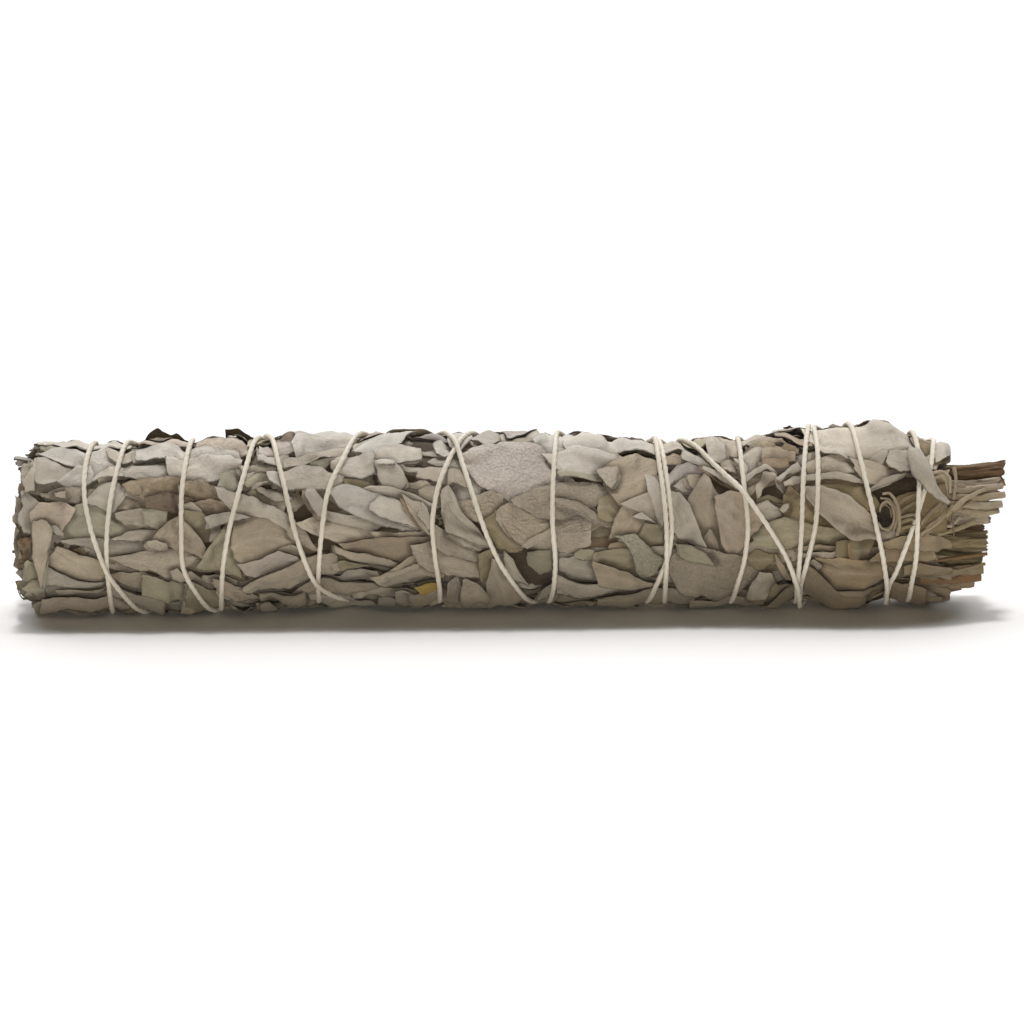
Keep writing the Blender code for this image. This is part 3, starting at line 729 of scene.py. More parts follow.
def keptInside(x, arc):
    # no leaf passes the ends of the leafy part, of which the left one is rounded off and ragged
    left = form["leafEnd"] + sheetEnds["left"]
    left = left + sheetEnds["rounding"] * np.abs(np.sin(arc / form["arcRadius"])) ** 4
    ragged = rough(arc / sheetEnds["raggedLength"] + 4, len(leaves) * 0.37)
    left = left + sheetEnds["ragged"] * np.clip(0.5 + ragged, 0, 1)
    leftGive, rightGive = sheetEnds["give"]
    past = left - x
    x = np.where(past > 0, left - past * leftGive, x)
    past = x - sheetEnds["right"]
    return np.where(past > 0, sheetEnds["right"] + past * rightGive, x)


def settledOver(under, spacing):
    # a leaf bridges the unevenness below it, and sags a little in between
    rounds = int(np.clip(2 * (sheet["settling"] / spacing) ** 2, *sheet["rounds"]))
    settled = under.copy()
    for _ in range(rounds):
        settled = np.maximum(softened(settled) - sheet["fall"] / rounds, under)
    return settled


creasing = {
    # share, and the lengths along and across the leaf over which it changes
    "broad": (0.6, 6, 1.7),
    "fine": (0.4, 2.6, 2.2),
    "crumpled": (0.7, 1.1, 0.9),
    "curlLength": 6,
    "curlPower": 6,
    "tips": (0.3, 1.6),
    "grains": (0.6, 1.0),
    "ribShare": 0.6,
    "ribFrom": 2.0,  # half width
}


def riseOf(grid, style):
    # arch, curled sides, lifted tip and creases
    kind = styles[style]
    u, v, along, across, half = (grid[key] for key in ("u", "v", "along", "across", "half"))
    draw = rng.uniform(0, 60, 6)
    creases = waved(creasing["broad"], along, across, *draw[:2])
    creases = creases + waved(creasing["fine"], along, across, *draw[2:4])
    if style == "crumple":
        creases = creases + waved(creasing["crumpled"], along, across, draw[3], draw[2])
    wander = 0.5 + rough(along / creasing["curlLength"] + draw[4], 9 + np.sign(v))
    curl = kind["curl"] * np.abs(v) ** creasing["curlPower"] * wander
    tip = kind["tip"] * u ** 4 * rng.uniform(*creasing["tips"])
    rise = kind["arch"] * np.minimum(half, 5) * (1 - v ** 2) + curl + tip
    return rise + kind["wrinkle"] * (0.6 + creases) + kind["lift"]


def layLeaf(x, arc, above, grid, tone, style):
    # drapes the leaf over what lies on the sheet already
    x = keptInside(x, arc)
    along = grid["along"]
    settled = settledOver(highestNear(x, arc), along[1, 0] - along[0, 0])
    rise = riseOf(grid, style)
    thickness = rng.uniform(*sheet["thickness"])
    grain = styles[style]["grain"] * rng.uniform(*creasing["grains"])
    ribbed = rng.random() < creasing["ribShare"]
    leaves.append({
        **grid, "x": x, "arc": arc, "height": settled + np.maximum(rise, 0) + thickness / 2,
        "above": above, "thickness": thickness, "tone": tone, "grain": grain,
        "rib": ribbed and grid["half"].max() > creasing["ribFrom"] and style in ("plain", "fuzz"),
    })
    stampLeaf(leaves[-1], len(leaves) - 1)


def stampLeaf(leaf, number):
    # records the leaf's top in the heap
    length = leaf["along"].max() + 1
    width = 2 * leaf["half"].max() * (1.0 + np.ptp(leaf["arc"]) / 30)  # wider where it goes far round
    cells, rows, columns = fineCells(leaf["x"], leaf["arc"], length, width)
    top = finer(leaf["height"], rows, columns) + leaf["thickness"] / 2
    np.maximum.at(heap.ravel(), cells, top)
    seen = top >= heap.ravel()[cells] - 1e-9
    owner.ravel()[cells[seen]] = number


# Drawn leaves: the lowest and the fillers, then the outer ones of the back, the ends and the underside

drawnTones = {
    "pale": 0.1, "light": 0.2, "mid": 0.24, "grey": 0.12, "green": 0.1, "lilac": 0.05,
    "pink": 0.05, "beige": 0.08, "tan": 0.04, "olive": 0.05, "brown": 0.03,
}
drawnKinds = {
    "lance": 0.3, "spear": 0.16, "blunt": 0.12, "round": 0.07, "torn": 0.16, "strip": 0.08,
    "diamond": 0.04, "wedge": 0.07,
}
drawnStyles = {"plain": 0.6, "fuzz": 0.12, "crumple": 0.14, "tube": 0.06, "rim": 0.08}
drawnSizes = {
    "longKinds": ("lance", "spear", "blunt", "strip"),
    "long": (13, 32),
    "short": (8, 18),
    "strip": (2, 4),
    "broad": (4, 9.5),
    "slant": 0.36,
    "slantShare": 0.82,  # the others lie at any angle up to the next one
    "anyAngle": 1.4,
    "towardsLeft": 0.8,
    "bow": 0.05,
    "endGaps": (1.2, 2.0),
    "outerSpacing": 0.85,
    "fillerSpacing": 1.5,
}
drawnPlaces = {
    "fillers": 520,
    "outer": 720,
    "evenSteps": (0.754877666, 0.569840291),  # spread places evenly over the sheet
    "length": 214,
    "scatter": 1.5,
    "front": (-58.0, 88.0),  # angles between which the outer leaves are those of the picture
    "frontX": (-112.0, 98.0),
}
lowest = {"rows": 14, "columns": 10, "length": 188, "halfLength": 14}
# x and half width
lowestEdge = np.array([(-lowest["halfLength"], 6), (0, 7), (lowest["halfLength"], 6)])


def drawn(choices):
    shares = np.array(list(choices.values()))
    return str(rng.choice(list(choices), p=shares / shares.sum()))


def layDrawnLeaf(x, arc, outer):
    sizes = drawnSizes
    kind = drawn(drawnKinds)
    length = rng.uniform(*sizes["long" if kind in sizes["longKinds"] else "short"])
    width = rng.uniform(*sizes["strip" if kind == "strip" else "broad"])
    slanted = rng.random() < sizes["slantShare"]
    angle = rng.normal(0, sizes["slant"]) if slanted else rng.uniform(-sizes["anyAngle"], sizes["anyAngle"])
    way = -1 if rng.random() < sizes["towardsLeft"] else 1
    ahead = np.array([math.cos(angle), math.sin(angle)]) * way
    aside = np.array([-ahead[1], ahead[0]])
    reach = abs(ahead[0]) * length / 2
    leftGap, rightGap = sizes["endGaps"]
    low = form["leafEnd"] + reach + rng.exponential(leftGap)
    high = sheetEnds["right"] - reach - rng.exponential(rightGap)
    middle = np.array([min(max(x, low), high), arc])
    shares = np.linspace(0, 1, 9)
    knots = np.array(outlines[kind])
    shape = np.interp(shares, knots[:, 0], knots[:, 1]) * width / 2
    bow = rng.normal(0, sizes["bow"]) * length * 4 * shares * (1 - shares)
    line = middle + (shares[:, None] - 0.5) * length * ahead
    first = line + (bow + shape)[:, None] * aside
    second = line + (bow - shape)[:, None] * aside
    points, grid = betweenEdges(first, second, 1.0, sizes["outerSpacing" if outer else "fillerSpacing"])
    style = drawn(drawnStyles) if outer else "filler"
    layLeaf(points[..., 0], points[..., 1], 0.0, grid, drawn(drawnTones), style)


def inFront(x, arc):
    low, high = arcAt(drawnPlaces["front"])
    left, right = drawnPlaces["frontX"]
    return (arc - low) % arcLength < high - low and left < x < right


def layDrawnLeaves(count, outer):
    places = drawnPlaces
    stepX, stepArc = places["evenSteps"]
    for k in range(count):
        x = form["leafEnd"] + 2 + ((k * stepX) % 1.0) * places["length"] + rng.normal(0, places["scatter"])
        arc = ((k * stepArc) % 1.0) * arcLength + rng.normal(0, places["scatter"])
        if not (outer and inFront(x, arc)):
            layDrawnLeaf(x, arc, outer)


def layLowestLeaves():
    # rows of broad brown leaves that leave no opening
    rows, columns = lowest["rows"], lowest["columns"]
    start = form["leafEnd"] + lowest["halfLength"]
    for row in range(rows):
        for column in range(columns):
            x = start + lowest["length"] * (column + 0.5 * (row % 2)) / columns
            middle = (x, arcLength * row / rows)
            edges = (lowestEdge + middle, lowestEdge * (1, -1) + middle)
            points, grid = betweenEdges(*edges, 1.0, drawnSizes["fillerSpacing"])
            tone = drawn({"brown": 1, "tan": 1, "olive": 1})
            layLeaf(points[..., 0], points[..., 1], 0.0, grid, tone, "filler")


layLowestLeaves()
layDrawnLeaves(drawnPlaces["fillers"], False)
layDrawnLeaves(drawnPlaces["outer"], True)
print("drawn leaves laid:", len(leaves))


# Gaps that are sunk and darkened with painted shade, and leaves of the picture, each with two edges from root
# to tip: x and y of points in pixels

hollows = [
    ((16, 523, 22, 521, 36, 529), (15, 529, 21, 535, 35, 537)),
    ((70, 447, 90, 449, 115, 450), (72, 451, 90, 452, 115, 452)),
    ((85, 487, 70, 489, 45, 490), (85, 493, 65, 495, 45, 494)),
    ((66, 497, 76, 499, 86, 501), (68, 506, 76, 508, 84, 505)),
    ((60, 543, 78, 553, 100, 560), (58, 546, 75, 557, 100, 562)),
    ((145, 583, 165, 588, 190, 595), (145, 587, 165, 593, 190, 600)),
    ((190, 582, 215, 591, 250, 598), (190, 587, 215, 597, 250, 601)),
    ((206, 541, 210, 545, 214, 541), (207, 549, 209, 551, 212, 549)),
    ((255, 462, 265, 463, 272, 467), (256, 466, 265, 468, 272, 469)),
    ((416, 433, 430, 434, 444, 436), (417, 438, 430, 440, 444, 439)),
    ((402, 444, 420, 436, 440, 438), (405, 449, 425, 449, 438, 445)),
    ((327, 457, 332, 458, 336, 458), (327, 465, 332, 465, 336, 463)),
    ((375, 466, 379, 468, 382, 482), (372, 473, 377, 478, 381, 483)),
    ((400, 467, 410, 468, 418, 474), (403, 472, 410, 475, 418, 476)),
    ((305, 527, 320, 536, 340, 543), (312, 540, 322, 550, 341, 556)),
    ((295, 512, 308, 505, 320, 510), (297, 517, 310, 518, 320, 517)),
    ((487, 444, 495, 441, 502, 442), (487, 446, 495, 445, 502, 444)),
    ((520, 443, 528, 442, 535, 446), (520, 448, 528, 450, 535, 450)),
    ((558, 473, 585, 478, 611, 488), (560, 479, 590, 486, 611, 492)),
    ((507, 552, 528, 550, 552, 572), (515, 570, 527, 588, 553, 588)),
    ((582, 592, 600, 593, 616, 594), (582, 597, 600, 598, 616, 598)),
    ((589, 446, 601, 445), (591, 450, 601, 450)),
    ((619, 451, 629, 448, 655, 453), (623, 456, 632, 462, 655, 461)),
    ((662, 451, 675, 449, 688, 449), (663, 456, 676, 455, 688, 453)),
    ((711, 477, 722, 479, 740, 489), (715, 492, 727, 495, 738, 494)),
    ((792, 441, 800, 442, 805, 446), (794, 447, 800, 448, 805, 448)),
    ((762, 486, 775, 485, 787, 494), (763, 495, 775, 499, 786, 500)),
    ((816, 450, 828, 449), (818, 457, 828, 456)),
    ((822, 570, 827, 574, 832, 582), (824, 578, 829, 584, 833, 586)),
    ((875, 483, 895, 476, 919, 473), (878, 500, 900, 504, 919, 501)),
    ((930, 529, 940, 530, 947, 530), (930, 535, 940, 535, 947, 535)),
]

# each with its tone and style; plain where it names no style
traced = [
    # left end
    ("brown crumple", (20, 539, 36, 538), (21, 549, 24, 557, 31, 557, 36, 548)),
    ("green", (27, 562, 31, 560, 40, 568), (28, 578, 36, 583, 44, 583)),
    ("green", (26, 586, 32, 581, 43, 580), (33, 592, 40, 600, 48, 598)),
    ("olive", (34, 602, 40, 600, 48, 600), (37, 607, 48, 609)),
    ("mid", (17, 497, 16, 510, 15, 522), (26, 497, 23, 510, 21, 523)),
    ("light", (27, 493, 42, 503), (22, 520, 28, 530, 38, 530)),
    ("olive crumple", (35, 449, 50, 448, 60, 450), (36, 453, 50, 453, 60, 453)),
    ("beige crumple", (30, 459, 45, 460, 58, 463), (32, 463, 46, 466, 58, 466)),
    ("pale", (42, 457, 56, 452, 80, 450, 96, 450), (46, 458, 60, 462, 78, 463, 94, 466)),
    ("light", (36, 464, 47, 462, 62, 467, 76, 470), (38, 482, 48, 484, 60, 480, 76, 471)),
    ("pale", (38, 444, 70, 441, 100, 440, 132, 441), (40, 449, 70, 447, 100, 447, 131, 446)),
    ("pale", (95, 451, 110, 451, 121, 460), (94, 466, 97, 477, 117, 466)),
    ("pale", (61, 482, 77, 470, 81, 465, 94, 465), (63, 483, 74, 487, 85, 484, 97, 477)),
    ("light rim", (36, 466, 14, 467), (38, 490, 28, 492, 17, 497)),
    ("beige crumple", (45, 492, 60, 490, 84, 488), (46, 496, 62, 500, 82, 502)),
    ("mid", (60, 548, 77, 555, 95, 560, 107, 566), (50, 562, 62, 570, 80, 579, 108, 585)),
    ("green", (65, 529, 75, 510, 88, 503, 112, 508, 125, 524, 142, 529),
     (64, 538, 95, 538, 122, 538, 142, 530)),
    ("pink", (36, 513, 43, 505, 66, 503, 76, 510), (37, 521, 54, 525, 65, 530, 71, 520)),
    ("pink", (58, 494, 68, 493), (60, 498, 67, 500)),
    ("light", (55, 526, 60, 526, 66, 533), (56, 530, 61, 535, 66, 536)),
    ("mid", (64, 540, 85, 538, 110, 540, 164, 542),
     (66, 542, 88, 546, 108, 556, 128, 554, 145, 551, 164, 551)),
    ("light", (50, 568, 63, 573, 80, 581, 108, 586), (43, 582, 60, 585, 80, 589, 106, 589)),
    ("mid", (60, 590, 90, 589, 110, 592), (62, 597, 85, 594, 110, 594)),
    ("pink", (45, 597, 80, 596, 130, 603, 165, 610), (42, 607, 80, 606, 120, 609, 165, 611)),
    ("mid tube", (38, 522, 36, 530, 37, 545, 36, 557, 43, 583),
     (49, 523, 54, 528, 53, 538, 50, 550, 45, 582)),
    # left
    ("beige crumple", (130, 493, 145, 499, 165, 500), (122, 507, 145, 510, 165, 508)),
    ("light", (90, 500, 105, 483, 121, 482, 131, 489), (91, 503, 108, 507, 117, 510, 124, 500)),
    ("pale", (97, 478, 114, 466, 141, 463, 165, 457), (98, 480, 112, 474, 130, 472, 146, 470, 165, 465)),
    ("light", (110, 450, 128, 451, 150, 449), (111, 457, 122, 460, 132, 459, 150, 452)),
    ("pale", (128, 470, 150, 465, 170, 461), (130, 476, 150, 480, 176, 476)),
    ("light", (116, 539, 129, 533, 141, 530, 165, 531), (117, 540, 135, 540, 165, 541)),
    ("mid", (118, 513, 140, 510, 160, 510), (121, 518, 128, 523, 150, 525)),
    ("green", (148, 512, 160, 509, 168, 512), (150, 524, 160, 528, 167, 524)),
    ("mid", (114, 578, 125, 573, 145, 574, 165, 581), (116, 583, 135, 587, 165, 592)),
    ("mid", (112, 586, 130, 594, 165, 598), (113, 596, 135, 605, 165, 611)),
    ("mid fuzz", (111, 558, 128, 555, 145, 552, 182, 552, 200, 558),
     (113, 560, 130, 565, 150, 569, 172, 577, 190, 566, 200, 559)),
    ("green", (145, 575, 165, 580, 188, 590), (145, 592, 165, 597, 190, 603)),
    ("dark", (143, 436, 151, 427, 160, 422, 167, 425, 173, 429, 178, 426, 183, 427, 193, 434),
     (141, 440, 165, 439, 193, 440)),
    ("pink", (141, 439, 165, 438, 195, 439), (141, 445, 165, 447, 194, 444)),
    ("green", (199, 440, 208, 436, 222, 434, 240, 438), (202, 443, 220, 441, 240, 440)),
    ("dark", (229, 426, 240, 422, 248, 426, 261, 428), (229, 436, 242, 440, 261, 440)),
    ("pink crumple", (200, 441, 230, 440, 258, 442), (199, 448, 225, 452, 255, 452)),
    ("pale", (140, 452, 165, 447, 200, 448, 240, 453), (142, 461, 165, 459, 200, 456, 240, 459)),
    ("pale", (168, 460, 200, 458, 245, 459), (170, 473, 188, 478, 208, 479, 228, 475, 243, 469)),
    ("tan crumple", (128, 484, 150, 480, 182, 478), (130, 492, 150, 499, 170, 497, 184, 490)),
    ("tan crumple", (184, 482, 200, 480, 218, 487), (184, 498, 200, 503, 222, 500)),
    ("brown crumple", (150, 499, 175, 493, 198, 500), (152, 508, 175, 510, 200, 512)),
    ("tan crumple", (198, 503, 215, 500, 235, 504), (205, 514, 222, 515, 236, 509)),
    ("mid", (181, 505, 195, 503, 205, 511), (190, 512, 203, 516, 209, 519)),
    ("green", (224, 475, 238, 470, 243, 472), (222, 487, 236, 489, 242, 482)),
    ("olive", (187, 511, 203, 513, 213, 523, 214, 542), (188, 521, 197, 531, 206, 542)),
    ("mid", (214, 528, 218, 527, 222, 525), (215, 540, 219, 538, 222, 535)),
    ("beige", (154, 541, 166, 527, 180, 518, 190, 525, 202, 537, 207, 548),
     (156, 543, 172, 546, 188, 550, 200, 553, 206, 557)),
    ("mid", (150, 541, 158, 539, 168, 543), (152, 547, 160, 549, 170, 547)),
    ("green", (228, 524, 215, 545, 203, 565), (231, 524, 236, 548, 241, 577)),
    ("light", (173, 571, 180, 570, 186, 577), (175, 578, 182, 582, 190, 584)),
    ("mid", (193, 572, 205, 583, 220, 592), (188, 575, 200, 590, 215, 597)),
    ("mid", (205, 575, 222, 578, 240, 583), (207, 582, 225, 588, 240, 588)),
    ("olive", (190, 583, 205, 590, 225, 597), (188, 603, 205, 609, 225, 609)),
    ("mid", (215, 580, 232, 586, 246, 590), (222, 596, 240, 600, 262, 600)),
    # left of the middle
    ("light", (243, 465, 262, 461, 280, 463), (245, 471, 262, 469, 278, 468)),
    ("light", (245, 473, 260, 471, 274, 471), (246, 479, 262, 478, 276, 474)),
    ("green", (247, 482, 260, 475, 275, 473), (250, 487, 262, 484, 275, 480)),
    ("light rim", (253, 489, 259, 484, 271, 481), (256, 491, 263, 487, 272, 482)),
    ("olive", (246, 493, 256, 491, 279, 500), (248, 498, 262, 501, 277, 505)),
    ("beige", (262, 489, 275, 488, 290, 491), (264, 494, 278, 500, 292, 500)),
    ("brown crumple", (276, 436, 285, 433, 300, 433), (277, 440, 290, 443, 300, 441)),
    ("pink", (262, 443, 280, 441, 292, 444), (262, 452, 285, 453, 300, 450)),
    ("pale", (262, 455, 285, 455, 305, 459), (262, 460, 290, 464, 305, 462)),
    ("pale", (270, 472, 290, 470, 316, 470), (272, 480, 292, 487, 316, 484)),
    ("beige", (235, 540, 238, 521, 255, 517, 272, 519, 290, 534, 294, 544),
     (238, 556, 246, 562, 262, 559, 280, 549, 288, 549, 294, 546)),
    ("light tube", (219, 489, 240, 492, 262, 501, 290, 514, 303, 530),
     (222, 498, 240, 512, 268, 517, 285, 526, 300, 541)),
    ("mid", (296, 520, 305, 530, 320, 552), (290, 533, 300, 543, 318, 553)),
    ("light tube", (209, 518, 220, 514, 235, 512, 252, 517), (212, 527, 224, 523, 238, 520, 252, 518)),
    ("mid", (280, 550, 292, 545, 304, 551), (286, 551, 300, 558, 306, 560)),
    ("lilac", (240, 564, 262, 560, 280, 551, 300, 558), (248, 573, 256, 576, 284, 571, 304, 566)),
    ("mid", (245, 586, 262, 577, 292, 567, 312, 560, 336, 555, 342, 570),
     (250, 591, 268, 590, 290, 589, 312, 586, 330, 579, 341, 571)),
    ("mid", (262, 592, 285, 594, 305, 596), (264, 600, 290, 602, 305, 602)),
    ("light", (262, 600, 270, 599, 277, 604), (262, 607, 270, 609, 278, 608)),
    ("light rim", (296, 434, 315, 431, 330, 432), (298, 438, 315, 438, 325, 437)),
    ("pale", (310, 437, 330, 432, 364, 432), (322, 441, 335, 440, 355, 435)),
    ("pale", (296, 445, 300, 438, 325, 441, 358, 435), (300, 459, 316, 452, 336, 447, 357, 441)),
    ("light rim", (288, 459, 303, 459, 325, 450, 350, 445), (288, 466, 306, 466, 322, 458, 348, 452)),
    ("green", (314, 464, 325, 460, 336, 457), (320, 468, 325, 468, 334, 460)),
    ("light", (355, 443, 372, 439, 388, 436), (357, 450, 365, 454, 374, 454)),
    ("pale", (357, 449, 375, 440, 400, 433, 416, 430), (374, 454, 388, 447, 402, 441, 417, 433)),
    ("pale", (374, 462, 382, 451, 400, 447, 422, 452), (378, 466, 388, 462, 405, 461, 424, 461)),
    ("pale", (334, 462, 345, 454, 358, 456, 374, 455), (337, 468, 352, 474, 365, 475, 375, 472)),
    ("light", (402, 466, 425, 469, 445, 467), (404, 470, 420, 473, 440, 478)),
    ("light", (420, 472, 435, 468, 460, 468), (422, 478, 440, 479, 455, 482)),
    ("mid", (408, 482, 425, 482, 442, 484), (412, 487, 425, 489, 440, 492)),
    ("mid", (420, 489, 435, 486, 452, 487), (420, 496, 432, 499, 448, 500)),
    ("light", (378, 465, 395, 463, 405, 474, 408, 482), (382, 478, 385, 487, 400, 491, 408, 484)),
    ("pale tube", (378, 463, 388, 461, 397, 463), (379, 467, 388, 466, 397, 467)),
    ("pale", (286, 472, 305, 469, 325, 469, 346, 476), (290, 487, 310, 488, 330, 487, 345, 482)),
    ("olive", (346, 479, 360, 480, 382, 486), (348, 483, 362, 489, 380, 490)),
    ("light", (360, 491, 375, 487, 395, 488, 412, 493, 436, 505),
     (372, 494, 390, 499, 402, 497, 415, 500, 436, 507)),
    ("light", (301, 523, 317, 517, 340, 523, 365, 528, 381, 533),
     (305, 528, 320, 535, 340, 541, 355, 542, 380, 537)),
    ("light", (330, 511, 345, 515, 365, 517, 386, 523), (327, 520, 345, 524, 365, 529, 380, 528)),
    ("pale", (332, 488, 346, 486, 375, 495, 400, 502, 416, 515, 430, 531),
     (333, 493, 342, 505, 358, 513, 380, 522, 405, 529, 430, 533)),
    ("pale", (374, 504, 381, 497, 402, 503, 412, 513, 425, 530), (374, 511, 388, 517, 402, 522, 424, 530)),
    ("pale", (309, 490, 316, 488, 325, 500, 330, 512), (309, 497, 314, 506, 321, 516, 328, 519)),
    ("beige", (375, 531, 395, 533, 432, 531), (380, 538, 400, 538, 433, 536)),
    ("tan", (342, 543, 360, 541, 385, 538, 432, 539), (345, 548, 365, 553, 388, 559, 404, 562, 420, 555)),
    ("beige tube", (337, 545, 352, 551, 370, 554, 398, 563), (338, 551, 355, 558, 375, 564, 396, 569)),
    ("mid", (397, 565, 410, 558, 421, 556), (382, 576, 400, 570, 421, 563)),
    ("olive", (340, 561, 352, 560, 362, 562), (343, 568, 355, 566, 372, 563)),
    ("mid", (330, 582, 350, 572, 376, 570), (332, 586, 355, 582, 380, 577)),
    ("mid", (300, 590, 330, 583, 372, 580), (310, 595, 340, 594, 378, 585)),
    ("mid", (372, 575, 396, 571, 421, 563, 440, 560), (384, 583, 398, 586, 420, 583, 445, 579)),
    ("mid", (413, 546, 432, 545, 455, 551, 481, 556), (421, 562, 432, 572, 455, 575, 481, 577)),
    ("light", (380, 595, 388, 594, 396, 596), (380, 601, 396, 601)),
    ("mid", (397, 590, 405, 588, 414, 592), (398, 598, 408, 600, 414, 598)),
    ("beige", (412, 590, 425, 592, 442, 593), (415, 599, 430, 600, 442, 598)),
    ("yellow", (416, 584, 426, 583, 440, 586), (422, 590, 430, 592, 440, 591)),
    ("mid", (405, 496, 415, 503, 425, 505), (412, 512, 420, 523, 430, 534)),
    ("light", (424, 503, 428, 508, 434, 525), (420, 515, 425, 522, 434, 533)),
    # middle
    ("pale", (436, 445, 443, 438, 455, 446), (439, 454, 446, 455, 455, 450)),
    ("pale", (450, 431, 472, 432), (453, 443, 460, 449, 472, 437)),
    ("beige", (462, 450, 475, 445, 490, 443), (465, 452, 478, 452, 490, 449)),
    ("light", (474, 438, 490, 434, 502, 437), (478, 442, 490, 444, 502, 440)),
    ("pale", (503, 438, 520, 431, 535, 431), (505, 441, 520, 440, 535, 436)),
    ("light", (512, 443, 528, 434, 538, 432, 544, 437), (516, 446, 530, 440, 544, 439)),
    ("beige", (503, 443, 520, 440, 532, 440), (505, 446, 522, 445, 535, 443)),
    ("pale", (536, 442, 550, 432, 570, 431, 590, 437), (540, 452, 560, 450, 590, 455)),
    ("mid", (449, 487, 452, 468, 462, 470), (455, 480, 462, 484, 470, 486)),
    ("pale", (520, 452, 560, 447, 600, 452), (545, 465, 560, 472, 600, 472)),
    ("paleLilac fuzz", (462, 455, 480, 449, 515, 448, 545, 452, 578, 482),
     (466, 462, 480, 482, 500, 490, 515, 500, 545, 488, 578, 484)),
    ("beige fuzz", (461, 505, 476, 497, 492, 492, 504, 498, 502, 512),
     (463, 512, 474, 518, 487, 521, 500, 515)),
    ("olive", (486, 521, 500, 512, 510, 530, 524, 547), (488, 530, 496, 545, 510, 552, 522, 550)),
    ("beige fuzz", (501, 510, 510, 504, 528, 511, 550, 518),
     (504, 522, 514, 536, 525, 543, 538, 534, 550, 530)),
    ("mid fuzz", (525, 545, 537, 536, 550, 532, 560, 522, 590, 521),
     (536, 549, 550, 552, 575, 550, 590, 543)),
    ("beige fuzz", (556, 505, 572, 508, 585, 516), (552, 517, 568, 518, 582, 518)),
    ("beige fuzz", (515, 500, 535, 490, 560, 484, 600, 483, 612, 492),
     (518, 505, 540, 516, 565, 517, 590, 508, 604, 500)),
    ("beige fuzz", (556, 497, 580, 503, 600, 516, 614, 524), (558, 504, 580, 512, 600, 524, 614, 529)),
    ("mid", (437, 526, 450, 536, 465, 546, 480, 552), (435, 545, 445, 553, 460, 557, 480, 562)),
    ("light", (449, 531, 462, 538, 490, 549), (452, 536, 465, 545, 480, 550, 492, 549)),
    ("light", (444, 492, 450, 487, 457, 500, 463, 514, 475, 525, 490, 545),
     (444, 512, 448, 529, 462, 535, 478, 543, 490, 547)),
    ("olive", (528, 551, 552, 553), (529, 564, 540, 572, 552, 571)),
    ("olive", (480, 553, 481, 580, 488, 592), (492, 551, 493, 565, 490, 592)),
    ("light", (506, 553, 514, 560, 520, 572), (508, 570, 514, 580, 528, 583)),
    ("mid", (494, 561, 490, 580, 490, 600), (497, 562, 507, 580, 526, 600)),
    ("mid", (455, 576, 450, 585, 448, 598), (459, 576, 462, 587, 458, 599)),
    ("mid", (464, 578, 463, 590, 463, 599), (468, 577, 478, 585, 488, 593, 488, 600)),
    ("light", (538, 597, 545, 589, 553, 587), (540, 600, 548, 597, 553, 594)),
    ("mid", (561, 560, 575, 557, 594, 561, 600, 575), (562, 572, 570, 579, 585, 581, 601, 582)),
    ("green", (575, 553, 580, 549, 594, 550), (577, 557, 585, 559, 594, 560)),
    ("light", (558, 578, 585, 583, 620, 588, 648, 590), (558, 594, 585, 595, 615, 594, 648, 591)),
    # right of the middle
    ("brown crumple", (572, 431, 586, 430, 601, 440), (578, 434, 590, 437, 602, 441)),
    ("pale", (566, 440, 585, 437, 620, 441, 655, 441), (570, 447, 600, 450, 625, 450, 655, 452)),
    ("light", (592, 450, 610, 450, 625, 455), (600, 455, 612, 458, 626, 458)),
    ("pale", (545, 455, 575, 449, 605, 455, 630, 461), (560, 470, 585, 472, 610, 468, 628, 463)),
    ("green", (560, 471, 580, 473, 602, 474), (562, 476, 585, 478, 602, 480)),
    ("olive", (600, 500, 612, 492, 622, 506), (600, 516, 608, 520, 618, 520)),
    ("beige", (600, 472, 616, 465, 642, 459, 658, 462), (607, 484, 614, 496, 625, 506, 650, 495, 658, 480)),
    ("light", (600, 472, 608, 470, 617, 470), (608, 485, 612, 489, 617, 482)),
    ("beige", (625, 506, 617, 520, 611, 538), (640, 512, 645, 520, 633, 536)),
    ("light", (624, 505, 640, 498, 651, 495), (640, 512, 650, 517, 658, 522)),
    ("pale", (635, 517, 643, 513, 656, 522), (640, 519, 648, 519, 656, 523)),
    ("olive", (640, 536, 646, 525, 662, 527), (648, 545, 655, 546, 663, 544)),
    ("mid", (646, 549, 655, 547, 664, 548), (652, 556, 660, 557, 664, 556)),
    ("light", (647, 475, 649, 490, 656, 512, 662, 526), (655, 476, 662, 487, 664, 510, 664, 526)),
    ("tan", (613, 543, 625, 541, 632, 548), (610, 549, 622, 550, 632, 550)),
    ("olive", (595, 552, 615, 550, 632, 550), (595, 560, 615, 569, 626, 570, 635, 565)),
    ("green fuzz", (617, 537, 636, 535, 648, 548, 662, 562),
     (626, 541, 633, 552, 637, 567, 645, 580, 655, 573)),
    ("beige", (594, 561, 620, 570, 638, 577, 652, 586), (601, 583, 620, 588, 636, 590, 652, 588)),
    ("mid", (600, 596, 640, 592, 690, 590), (600, 602, 650, 602, 695, 600)),
    ("light", (662, 444, 675, 441, 690, 447), (662, 452, 676, 450, 690, 450)),
    ("tan", (663, 456, 675, 454, 690, 455), (664, 461, 676, 463, 688, 460)),
    ("green", (682, 439, 700, 437, 712, 436), (690, 446, 700, 446, 710, 441)),
    ("light", (684, 453, 700, 455, 715, 466), (686, 460, 700, 463, 718, 473)),
    ("mid", (672, 483, 685, 473, 700, 471), (680, 485, 690, 477, 700, 474)),
    ("lilac", (666, 478, 678, 466, 690, 464, 704, 468), (669, 483, 678, 478, 690, 472, 704, 472)),
    ("light", (676, 485, 688, 478, 698, 482), (688, 491, 694, 492, 698, 488)),
    ("beige", (688, 477, 698, 475, 708, 476), (692, 487, 700, 489, 706, 485)),
